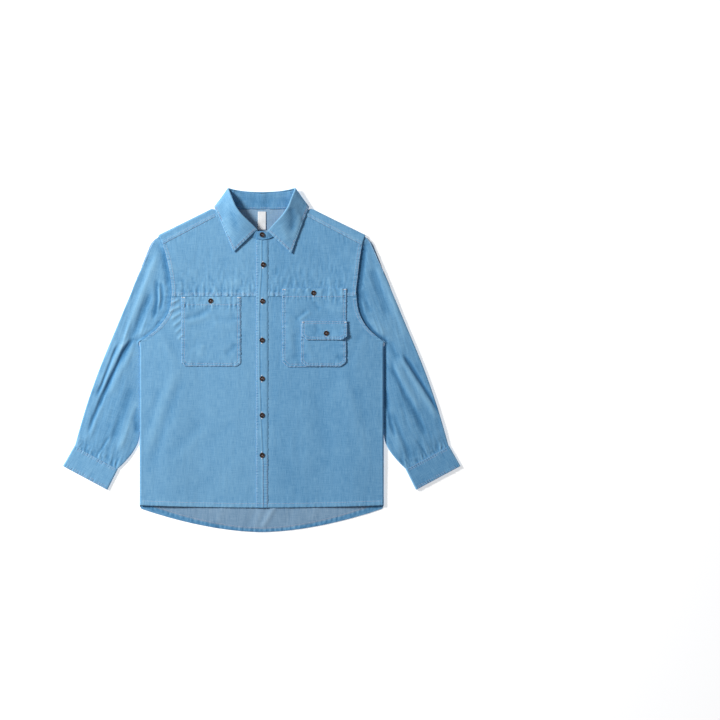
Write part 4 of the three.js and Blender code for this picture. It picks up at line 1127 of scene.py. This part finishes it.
def bump(x, y, atX, atY, radius):  # a soft mound over a button
    return smooth(1.35 - math.hypot(x - atX, y - atY) / radius)


stripX, stripY = strip["bottomX"] - strip["topX"], strip["bottomY"] - strip["topY"]
stripLength = math.hypot(stripX, stripY)
stripDX, stripDY = stripX / stripLength, stripY / stripLength
buttonLift = 2.3


def overButton(x, y, radius):  # how far the button of the sleeve placket lifts the cloth
    return buttonLift * bump(x, y, strip["buttonX"], strip["buttonY"], radius)


def sleeveUnder(x, y):  # height of a sleeve's underside, over its placket strip and button
    down = ((x - strip["topX"]) * stripX + (y - strip["topY"]) * stripY) / stripLength
    away = abs((x - strip["topX"]) * stripY - (y - strip["topY"]) * stripX) / stripLength
    over = smooth((strip["width"] / 2 + 45 - away) / 30) * smooth((down + 45) / 30)
    return (strip["thickness"] + body["gap"]) * over + overButton(x, y, 46)


def loopStation(q):  # over the top from the outer to the inner fold, then back underneath
    onTop, foldShare = q <= 1, sleeve["foldShare"]
    w = q if onTop else 2 - q
    if w < foldShare:
        return 0, w / foldShare * math.pi / 2, onTop, None
    if w > 1 - foldShare:
        return 1, (1 - w) / foldShare * math.pi / 2, onTop, None
    return None, 0, onTop, (w - foldShare) / (1 - 2 * foldShare)


def onGrain(x, y):  # a point of a sleeve's plan, across and along its grain
    return (sleeve["grain"][0] * x + sleeve["grain"][1] * y, sleeve["grain"][0] * y - sleeve["grain"][1] * x)


def makeSleeve(sign, side):  # a flattened tube with the folds pressed into it
    lines = [armholeLine(column, sleeve["armholeInset"]) for column in (side, "back")]
    folds = sleeveFolds[sign]

    def relief(x, y, l, onTop, width, across):
        toCuff = (1 - l) * 560
        gathers = 1.5 * puckers(across * width, toCuff, 91.0 + sign, 22, 9.0)
        gathers += 0.7 * puckers(across * width, toCuff, 93.0, 9, 5.0)
        if not onTop:
            press = foldHeight(underFolds, x, y) + 0.4 + 0.45 * soft(x / 26, y / 44, 94.0 + sign)
            press += 0.7 * abs(gathers)
            # painted shade: the underside darkens where it is pressed into grooves
            return -press, 0.35 * gathers - 0.18 * press
        a, b = onGrain(x, y)
        lift = 1.25 * foldHeight(folds, x, y) + 0.4 * soft(x / 30, y / 50, 95.0 + sign)
        lift += (0.55 * soft(a / 9, b / 80, 96.0 + sign) + 0.25 * soft(a / 5, b / 36, 98.0))
        seam = sideEdge(side, y)
        toArm = abs(x - seam) if y > 44 else 99
        groove = bell(toArm - 5, 7) * smooth((y - 44) / 12) * smooth((300 - y) / 30)
        lift -= (4.2 if sign > 0 else 1.8) * groove
        lift += 0.8 * puckers(y, toArm, 97.0 + sign, 12, 7.0)
        # painted shade: darker along the armhole seam and in the gutter beside it, darker in the creases and
        # paler on their ridges
        tone = 0.3 * lift + 0.4 * gathers - 0.25 * bell(toArm, 2.5) - 0.12 * smooth((l - 0.45) / 0.2)
        return lift + gathers, tone

    def at(u, l):
        near, angle, onTop, middle = loopStation(2 * (u % 1.0))
        table = lines[0] if onTop else lines[1]
        outer, inner = pointAt(sleeveOuter, l), pointAt(sleeveInner, lookup(innerPace, "l", "share", l))

        def plan(s):
            edge = pointAt(table, s)
            curved = 1 - smooth(l / mix(0.42, 0.24, smooth((s - 0.55) / 0.3)))  # shape of the armhole
            return [mix(outer[k], inner[k], s)
                    + curved * (edge[k] - mix(sleeveOuter[0][k], sleeveInner[0][k], s)) for k in ("x", "y")]
        width = math.hypot(outer["x"] - inner["x"], outer["y"] - inner["y"])

        def heights(x, y):
            besideBody = (1 - smooth((x - 306) / 45)) * smooth((80 - y) / 60)
            inFront = (1 - smooth((x - sideEdge(side, y) - 1) / 11)) * smooth((y - 34) / 14)
            onBack = 1 - smooth((x - sideEdge("back", y) - 5) / 12)
            own = sleeve["height"] - 2.6 * besideBody
            own += 0.9 * bump(x, y, strip["buttonX"], strip["buttonY"], 60)
            if sign > 0:
                own -= 2.4 * (1 - smooth((x - 305) / 14)) * smooth((60 - y) / 20)
            tucked = frontHeight(x, y) - body["wall"] - body["gap"] - 0.1
            low = 1.55 * onBack * smooth((y - 36) / 10)
            low += max(sleeveUnder(x, y), 1.05 * smooth((l - 0.975) / 0.02))
            low += 1.05 * (1 - smooth((l - 0.2) / 0.1))
            inCuff = mix(own, cuff["height"] - 0.95, smooth((l - 0.93) / 0.07))
            high = max(mix(inCuff, tucked, inFront), low + 2.4)
            free = (1 - besideBody * 0.7) * (1 - 0.7 * inFront) * smooth((1 - l) / 0.012 + 0.1)
            return high, low, free
        if middle is not None:
            roll = sleeve["roll"] / width
            share = mix(roll, 1 - roll, middle)
            x, y = plan(share)
            high, low, free = heights(x, y)
            lift, tone = relief(x, y, l, onTop, width, share)
            lift *= smooth(min(middle, 1 - middle) / 0.05 + 0.12) * free
            room = max(high - low - 2.2, 0)
            lift = max(lift, -0.62 * room) if onTop else max(lift, -0.36 * room)
            # painted shade: the left sleeve's top is darkened a little all over, and strongly in a strip
            # beside the body's edge where the body's shadow falls
            if sign > 0 and onTop:
                beside = bell(x - body["side"], 6) * smooth((50 - y) / 20) * smooth((y + 190) / 30)
                tone -= 0.08 + 0.9 * beside
            return sign * x, y, high if onTop else low, lift, tone
        x, y = plan(near)
        high, low, free = heights(x, y)
        half = (high - low) / 2
        reach = min(half * 1.05, sleeve["roll"]) * (1 - math.cos(angle)) / width
        x, y = plan(reach if near == 0 else 1 - reach)
        lift, tone = relief(x, y, l, onTop, width, near)
        z = (high + low) / 2 + half * math.sin(angle) * (1 if onTop else -1)
        return sign * x, y, z, 0.0, tone * 0.6 + 0.25
    return at


def sleeveUv(u, l, p):  # the underside's pattern is set apart from the top's
    a, b = onGrain(abs(p.x), p.y)
    return a + (1400 if u < 0.5 else 1900), b


ends = sleeve["foldShare"]
loopHalf = [ends * k / 5 for k in range(5)] + [ends + (1 - 2 * ends) * k / 68 for k in range(69)]
loopHalf += [1 - ends + ends * k / 5 for k in range(1, 5)]
loopUs = [q / 2 for q in loopHalf] + [(q + 1) / 2 for q in loopHalf] + [1.0]
sleeveLs = stations(sleeve["length"], 3.7, (0, sleeve["length"]), 16, 1.8)
for word, sign in sides:
    clothPiece(f"cloth_sleeve_{word}", [f"sleeve_{word}"], loopUs, sleeveLs, makeSleeve(sign, word), sleeveUv,
               flip=sign < 0, closed=True)
print("sleeves made")


cuffDX, cuffDY = cuff["innerX"] - cuff["outerX"], cuff["innerY"] - cuff["outerY"]
cuffWidth = math.hypot(cuffDX, cuffDY)


def cuffPlace(sign, a, b):
    spread = (a / cuffWidth - 0.5) * cuff["flare"] * b / cuff["depth"]
    return (sign * (cuff["outerX"] + cuffDX / cuffWidth * (a + spread) - cuffDY / cuffWidth * b),
            cuff["outerY"] + cuffDY / cuffWidth * (a + spread) + cuffDX / cuffWidth * b)


def cuffButton(sign):
    return cuffPlace(sign, cuff["buttonAt"], cuff["depth"] * cuff["buttonShare"])


def makeCuff(sign):  # a band all the way round, lapped over itself underneath
    buttonX, buttonY = cuffButton(sign)
    # painted shade: the top of the left cuff is darkened, away from the light
    paintedCuffShade = 0.25 if sign > 0 else 0.0

    def at(u, v):
        b = -cuff["tuck"] + (cuff["depth"] + cuff["tuck"]) * v
        half, roll = cuff["height"] / 2, cuff["roll"]
        under, over = cuffWidth - cuff["under"], cuff["over"]
        spans = [under - roll, half * 2.6, cuffWidth - 2 * roll, half * 2.6, over - roll]
        rest, leg = u * sum(spans), 0
        while leg < 4 and rest > spans[leg]:
            rest -= spans[leg]
            leg += 1
        t = rest / spans[leg]
        toEdge = min(b + cuff["tuck"], cuff["depth"] - b)
        run = u * sum(spans)
        fine = 0.7 * puckers(run, toEdge, 101.0 + sign, 8, 6.0) + 0.3 * soft(run / 24, b / 18, 102.0 + sign)
        for inset in cuff["stitch"]:
            fine -= 0.26 * bell(toEdge - inset, 0.9)
        rope = beads(run, toEdge - 4.3, 103.0 + sign, 4, 5.9)
        fine += 0.28 * rope
        fine -= 0.35 * bell(toEdge, 0.9)
        if leg in (1, 3):
            angle = (t - 0.5) * math.pi * (1 if leg == 1 else -1)
            a = cuffWidth - roll * (1 - math.cos(angle)) if leg == 1 else roll * (1 - math.cos(angle))
            x, y = cuffPlace(sign, a, b)
            return x, y, half + half * math.sin(angle), 0.0, 0.3
        if leg == 2:
            x, y = cuffPlace(sign, mix(cuffWidth - roll, roll, t), b)
            return x, y, cuff["height"], fine * smooth(min(t, 1 - t) / 0.04), 0.35 * fine + 0.4 * rope - paintedCuffShade
        a = mix(cuff["under"], cuffWidth - roll, t) if leg == 0 else mix(roll, over, t)
        x, y = cuffPlace(sign, a, b)
        lapped = (body["wall"] + body["gap"] + 0.05) * smooth((over + 16 - a) / 14) if leg == 0 else 0
        away = bump(abs(x), y, abs(buttonX), buttonY, 20)
        return x, y, buttonLift * away + lapped, -0.5 * abs(fine) * (1 if leg == 4 else 0.2), 0.4 * fine
    return at


cuffs = {word: makeCuff(sign) for word, sign in sides}
for word, sign in sides:
    clothPiece(f"cloth_cuff_{word}", [f"cuff_{word}"], [k / 150 for k in range(151)],
               stations(56, 2.6, (0, 56), 8, 1.1), cuffs[word], lambda u, v, p: (u * 330 + 2000, v * 56),
               flip=sign > 0, inside=False)

    def stripSurface(u, v, sign=sign):
        away = (u - 0.5) * strip["width"]
        x = mix(strip["topX"], strip["bottomX"], v) + away * stripDY
        y = mix(strip["topY"], strip["bottomY"], v) - away * stripDX
        edge = min((u if u < 0.5 else 1 - u) * strip["width"], v * stripLength)
        fine = -0.22 * bell(edge - 2, 0.9) - 0.3 * bell(edge, 0.8) - 0.12 * abs(soft(x / 9, y / 14, 105.0))
        return sign * x, y, overButton(x, y, 20), fine, 0.6 * fine + 0.1
    clothPiece(f"cloth_sleeve_placket_{word}", [f"sleeve_placket_{word}"], [k / 14 for k in range(15)],
               stations(stripLength, 2.6, (0, 35), 8, 1.1), stripSurface,
               lambda u, v, p: (u * 26 + 2400, v * 123), thickness=0.95, flip=sign > 0, inside=False)
print("cuffs made")

buttonLook = {"holeAt": 1.45, "hole": 0.72, "collarZ": 13.2, "underZ": 2.0, "thread": 0.27, "profile": [
    (0, 0), (5.5, 0), (6.2, 0.35), (6.4, 0.9), (6.3, 1.5), (5.9, 1.88), (5.4, 2.0), (4.9, 1.95),
    (4.4, 1.68), (3.9, 1.52), (2.4, 1.45), (0, 1.42)]}
buttonThreads = []


def clearOf(height, x, y):  # the lowest height at which a button clears the cloth under its rim
    ring = [height(x + 6 * math.cos(k * math.pi / 4), y + 6 * math.sin(k * math.pi / 4)) for k in range(8)]
    return body["gap"] + max(ring)


def makeButton(name, x, y, z, turn, under=False):  # dished disc; four dark discs on its face are painted shadow standing for bored holes
    bm = bmesh.new()
    profile, around = buttonLook["profile"], 32
    bmesh.ops.create_grid(bm, x_segments=around, y_segments=len(profile) - 1, size=0.5)
    toneLayer = bm.verts.layers.float.new("tone")
    uvLayer = bm.loops.layers.uv.new("cloth")
    for vert in bm.verts:
        angle = (vert.co.x + 0.5) * 2 * math.pi
        radius, height = profile[round((vert.co.y + 0.5) * (len(profile) - 1))]
        vert[toneLayer] = 0.12 * (1 - radius / 6) - 0.08 + 0.1 * bell(radius - 5.2, 0.5)
        vert.co = Vector((radius * math.cos(angle), radius * math.sin(angle), height))
    for face in bm.faces:
        for loop in face.loops:
            loop[uvLayer].uv = ((loop.vert.co.x + x * 3) * mm, (loop.vert.co.y + y * 3) * mm)
    bmesh.ops.remove_doubles(bm, verts=bm.verts, dist=1e-4)
    bmesh.ops.recalc_face_normals(bm, faces=bm.faces)
    for k in range(4):
        at = Vector((buttonLook["holeAt"], 0, 1.47))
        at.rotate(Matrix.Rotation((k + 0.5) * math.pi / 2, 3, "Z"))
        before = set(bm.faces)
        bmesh.ops.create_circle(bm, cap_ends=True, segments=14, radius=buttonLook["hole"],
                                matrix=Matrix.Translation(at))
        for face in set(bm.faces) - before:
            face.material_index = 1
            if face.normal.z < 0:
                face.normal_flip()
    place = Matrix.Translation(Vector((x, y, z)) * mm) @ Matrix.Rotation(turn, 4, "Z")
    if under:
        place = place @ Matrix.Rotation(math.pi, 4, "X")
    bmesh.ops.transform(bm, matrix=place @ Matrix.Diagonal((mm, mm, mm, 1)), verts=bm.verts)
    mesh = bpy.data.meshes.new(name)
    bm.to_mesh(mesh)
    bm.free()
    finishPiece(name, mesh, [horn, paintedHoleShadow], [name.replace("horn_", "")])
    for way in (-1, 1):  # two threads crossing between the holes
        z = 1.55 + 0.1 * way
        buttonThreads.append([place @ (Vector((side * way, side, z)) * mm) for side in (-1, 1)])


frontButtons = [("collar", 1, 313.4), ("front_1", 3.8, 238.6), ("front_2", 2, 147.6), ("front_3", 1, 50.1),
                ("front_4", 1, -45.9), ("front_5", 1, -137.4), ("front_6", 1, -237.1)]
pocketButtons = [("pocket_right", -127.5, 148.1, "pocket_right"),
                 ("pocket_left", 129.5, 167.9, "pocket_left"), ("flap_left", 161, 67.4, "pocket_flap_left")]
for n, (name, x, y) in enumerate(frontButtons):
    z = buttonLook["collarZ"] if name == "collar" else clearOf(placketBase, x, y)
    makeButton("horn_button_" + name, x, y, z, 0.4 + 1.3 * n)
for n, (name, x, y, on) in enumerate(pocketButtons):
    z = clearOf(lambda px, py: patchBase(on, px, py), x, y)
    makeButton("horn_button_" + name, x, y, z, 0.9 + 1.1 * n)
for word, sign in sides:
    makeButton(f"horn_button_sleeve_placket_{word}", sign * strip["buttonX"], strip["buttonY"],
               buttonLook["underZ"], 0.7, True)
    makeButton(f"horn_button_cuff_{word}", *cuffButton(sign), buttonLook["underZ"], 1.2, True)


def threadBars(name, bars, radius, material):  # straight bars of thread between two points
    bm = bmesh.new()
    for start, end in bars:
        way = end - start
        turn = way.to_track_quat("X", "Z").to_matrix().to_4x4()
        size = Matrix.Diagonal((way.length / 2 + radius * mm, radius * mm, radius * mm, 1))
        place = Matrix.Translation((start + end) / 2) @ turn @ size
        bmesh.ops.create_icosphere(bm, subdivisions=2, radius=1.0, matrix=place)
    mesh = bpy.data.meshes.new(name)
    bm.to_mesh(mesh)
    bm.free()
    return finishPiece(name, mesh, [material])


threadBars("button_threads", buttonThreads, buttonLook["thread"], thread)
print("buttons made")


# Paths for topstitching, bartacks and buttonholes.

def pathBetween(start, end, count=24):
    return [(mix(start[0], end[0], k / count), mix(start[1], end[1], k / count)) for k in range(count + 1)]


def pathAcross(x0, x1, yOf, step=8):  # a path over x at a height that depends on x
    count = max(int(abs(x1 - x0) / step), 4)
    return [(mix(x0, x1, k / count), yOf(mix(x0, x1, k / count))) for k in range(count + 1)]


def pathUp(y0, y1, xOf, step=6):
    count = max(int(abs(y1 - y0) / step), 4)
    return [(xOf(mix(y0, y1, k / count)), mix(y0, y1, k / count)) for k in range(count + 1)]


seamY = body["chestSeam"]
for word, sign in sides:
    inner = placket["right" if sign > 0 else "left"] + sign * 0.5
    runs = []
    for rise in seams["chest"]:
        reach = sign * (sideEdge(word, seamY + rise) - 1)
        runs.append((frontTop, pathAcross(inner, reach, lambda x: seamY + rise), 1))
    for inset in seams["armhole"]:
        runs.append((frontTop, pathUp(seamY + 1, 289, lambda y: sign * (sideEdge(word, y) - inset)), 1))
    stitches(f"stitches_front_upper_{word}", runs)
    runs = []
    for inset in seams["armhole"]:
        runs.append((frontTop, pathUp(60, seamY - 1, lambda y: sign * (sideEdge(word, y) - inset)), 1))
    runs.append((frontTop, pathAcross(inner, sign * 300, lambda x: frontHem(x) + hemStitch), 1))
    stitches(f"stitches_front_lower_{word}", runs)

yokeRuns = []
for side, sign in sides:
    for rise in seams["yokeFront"]:
        reach = sideEdge(side, 292) - 2
        yokeRuns.append((lambda x, y: (x, y, frontHeight(x, y) + 0.28),
                         pathAcross(sign * 116, sign * reach, lambda x: frontYoke(x) + rise), 1))
for rise in seams["yokeBack"]:
    yokeRuns.append((lambda x, y: (x, y, yokeRaise(x, y) + 0.36),
                     pathAcross(-264, 264, lambda x: body["yokeSeam"] + rise), -1))
stitches("stitches_yoke", yokeRuns)


def hemInside(x, y):  # the inner face of the back's hem, seen below the front
    return x, y, 1.25 + max(foldHeight(hemFolds, x, y), -0.4)


backRuns = []
for rise in seams["backHem"]:
    backRuns.append((lambda x, y: (x, y, 0.42), pathAcross(-292, 292, lambda x: backHem(x) + rise), -1))
backRuns.append((hemInside, pathAcross(-280, 280, lambda x: backHem(x) + hemStitch), 1))
stitches("stitches_back", backRuns)

low, high = frontHem(0) + 3, body["neckFront"] - 4
stitches("stitches_placket", [
    (placketTop, pathUp(low, high, lambda y: placket["left"] + placket["stitchIn"]), 1),
    (placketTop, pathUp(low, -236, lambda y: placket["right"] - 4.6), 1),
    (placketTop, pathUp(low, -250, lambda y: 3.4), 1),
    (placketTop, pathAcross(placket["left"] + 1, placket["right"] - 1, lambda x: frontHem(x) + hemStitch, 4),
     1)])

holeRuns = []
for name, x, y in frontButtons[1:]:
    for shift in (-0.9, 0.9):
        holeRuns.append((placketTop, [(x + shift - 0.6, y - 8.6), (x + shift - 0.6, y + 8.2)], 1))
    for end in (-8.8, 8.4):
        holeRuns.append((placketTop, [(x - 1.9, y + end), (x + 0.7, y + end)], 1))
tackRuns = []
for name, x, y, on in pocketButtons:
    for shift in (-0.9, 0.9):
        holeRuns.append((patchTop(on), [(x + shift, y - 8.6), (x + shift, y + 8.2)], 1))
fineLook = {"length": 1.9, "pitch": 1.0, "width": 1.5, "height": 0.6}
stitches("stitches_buttonholes", holeRuns, whiteThread, fineLook)

for name, patch in patches.items():
    top = patchTop(name)
    runs = []
    for inset in patch["stitch"]:
        left, right = patch["left"] + inset, patch["right"] - inset
        topY = patch["top"] - 1

        def bottomOf(x):
            outward = -inset if x < 0.5 * (left + right) else inset
            return patchBottom(patch, x + outward * 0.7) + inset
        path = pathUp(topY, bottomOf(left) + 0.5, lambda y: left, 5)
        path += pathAcross(left, right, bottomOf, 3)
        path += pathUp(bottomOf(right) + 0.5, topY, lambda y: right, 5)
        runs.append((top, path, 1))
    ends = patch["left"] + 2, patch["right"] - 2
    if patch["band"]:
        runs.append((top, pathAcross(*ends, lambda x: patch["top"] - patch["band"] + bandStitch), 1))
        for x in (patch["left"] + 1, patch["right"] - 8.5):
            tackRuns.append((top, [(x, patch["top"] - 2.6), (x + 8, patch["top"] - 2.6)], 1))
    if name == "pocket_flap_left":
        for drop in flapRows:
            runs.append((top, pathAcross(*ends, lambda x: patch["top"] - drop), 1))
        for x in (patch["left"] + 1, patch["right"] - 7):
            tackRuns.append((top, [(x, patch["top"] - 4), (x + 6, patch["top"] - 4)], 1))
    stitches("stitches_" + name, runs)
stitches("stitches_bartacks", tackRuns, whiteThread,
                               {"length": 1.5, "pitch": 0.8, "width": 2.4, "height": 0.6})
print("front stitches made")


def search(measure, target, low, high):  # where a falling measure passes the target
    for _ in range(18):
        middle = (low + high) / 2
        if measure(middle) > target:
            low = middle
        else:
            high = middle
    return (low + high) / 2


def shifted(surface, distance):  # a parallel surface, for thread on the outer face of a centred wall
    def at(u, v):
        here = Vector(surface(u, v)[:3])
        du = Vector(surface(u + 2e-3, v)[:3]) - here
        dv = Vector(surface(u, v + 2e-3)[:3]) - here
        return here + du.cross(dv).normalized() * distance
    return at


fallOuter = shifted(fallPlain, 0.5)
collarRuns = []
for inset in (collar["stitchIn"] - 1.0, collar["stitchIn"] + 1.2):
    path = []
    for k in range(-118, 119):
        c = k / 10
        v = search(lambda s: collarAway(c, s)[0], inset, 0.3, 1.0)
        if collarAway(c, v)[1] >= inset * 0.98:
            path.append((c, v))
    collarRuns.append((fallOuter, path, 1))
    for sign in (-1, 1):
        path = []
        for k in range(0, 33):
            v = mix(0.16, 1, k / 32)
            c = search(lambda s: collarAway(sign * s, v)[1], inset, 11.0, 12.0) * sign
            if v < 0.3 or collarAway(c, v)[0] >= inset * 0.98:
                path.append((c, v))
        collarRuns.append((fallOuter, path, 1))
stitches("stitches_collar", collarRuns)
standOuter = shifted(standPlain, 0.5)
standRuns = [(standOuter, [(k / 10, 0.09) for k in range(-126, 127)], 1)]
stitches("stitches_collar_stand", standRuns)
labelZ = labelSurface(0.5, 1)[2] - 0.1
stitches("stitches_neck_label", [
    (lambda x, y: (x, y, labelZ), pathBetween((-8.6, 370.4), (9.8, 370.4), 4), 1)], whiteThread)


def flatStrip(x, y):
    return x, y, overButton(abs(x), y, 20) + 0.3


for word, sign in sides:
    surface, runs = cuffs[word], []
    for v in (0.04, 0.115, 0.885, 0.96):
        runs.append((surface, pathBetween((0.34, v), (0.735, v), 60), sign))
        runs.append((surface, pathBetween((0.81, v), (0.985, v), 30), sign))
    for u in (0.985, 0.965):
        runs.append((surface, pathBetween((u, 0.05), (u, 0.95), 12), sign))
    stitches(f"stitches_cuff_{word}", runs)

    def stripAt(a, d):
        return sign * (strip["topX"] + stripDX * d + stripDY * a), strip["topY"] + stripDY * d - stripDX * a
    runs = []
    for a in (-10.8, 10.8):
        runs.append((flatStrip, pathBetween(stripAt(a, 2.4), stripAt(a, stripLength - 2), 30), -1))
    for d in (2.4, 26):
        runs.append((flatStrip, pathBetween(stripAt(-10.6, d), stripAt(10.6, d), 6), -1))
    stitches(f"stitches_sleeve_placket_{word}", runs)
print("stitches made")


for word in ("right", "left"):
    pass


lightLook = {"key": 190.0, "keySize": 0.95, "keyAt": (-3.0, 1.4, 2.2), "fill": 0.23, "board": 0.5}


def flatMaterial(name, colour, roughness):
    material, tree = newMaterial(name)
    shader = addNode(tree, "ShaderNodeBsdfPrincipled", {
        "in:Base Color": linear(colour), "in:Roughness": roughness, "in:Specular IOR Level": 0.1,
        "in:Emission Color": linear(colour), "in:Emission Strength": lightLook["board"]})
    addNode(tree, "ShaderNodeOutputMaterial", None, {"Surface": shader.outputs["BSDF"]})
    return material


bm = bmesh.new()
bmesh.ops.create_grid(bm, x_segments=1, y_segments=1, size=4.0)
bmesh.ops.translate(bm, vec=(0, 0, -0.0006), verts=bm.verts)
floorMesh = bpy.data.meshes.new("floor")
bm.to_mesh(floorMesh)
bm.free()
floorMesh.materials.append(flatMaterial("matte_white_board", "#fbfbfb", 0.95))
floor = bpy.data.objects.new("floor", floorMesh)
bpy.context.scene.collection.objects.link(floor)

key = bpy.data.lights.new("key", "AREA")
key.energy, key.size, key.color = lightLook["key"], lightLook["keySize"], (1.0, 0.99, 0.97)
keyObject = bpy.data.objects.new("key", key)
keyObject.location = lightLook["keyAt"]
keyObject.rotation_euler = (-Vector(lightLook["keyAt"])).to_track_quat("-Z", "Y").to_euler()
bpy.context.scene.collection.objects.link(keyObject)
world = bpy.data.worlds.new("studio")
world.use_nodes = True
background = world.node_tree.nodes["Background"]
background.inputs["Color"].default_value = linear("#f4f7ff")
background.inputs["Strength"].default_value = lightLook["fill"]
bpy.context.scene.world = world

cameraLook = {"lens": 120.0, "sensor": 36.0, "shift": 0.13653, "at": (0.0, 0.0006, 6.0)}
cameraData = bpy.data.cameras.new("camera")
cameraData.lens, cameraData.sensor_width = cameraLook["lens"], cameraLook["sensor"]
cameraData.shift_x, cameraData.clip_end = cameraLook["shift"], 50
camera = bpy.data.objects.new("camera", cameraData)
camera.location = cameraLook["at"]
bpy.context.scene.collection.objects.link(camera)
bpy.context.scene.camera = camera
bpy.context.scene.view_settings.view_transform = "Standard"

drawn = [o for o in bpy.context.scene.objects if o.name.startswith(("cloth", "horn", "stitches"))]
triangles = sum(len(p.vertices) - 2 for o in drawn for p in o.data.polygons)
print("triangles before thickness:", triangles)
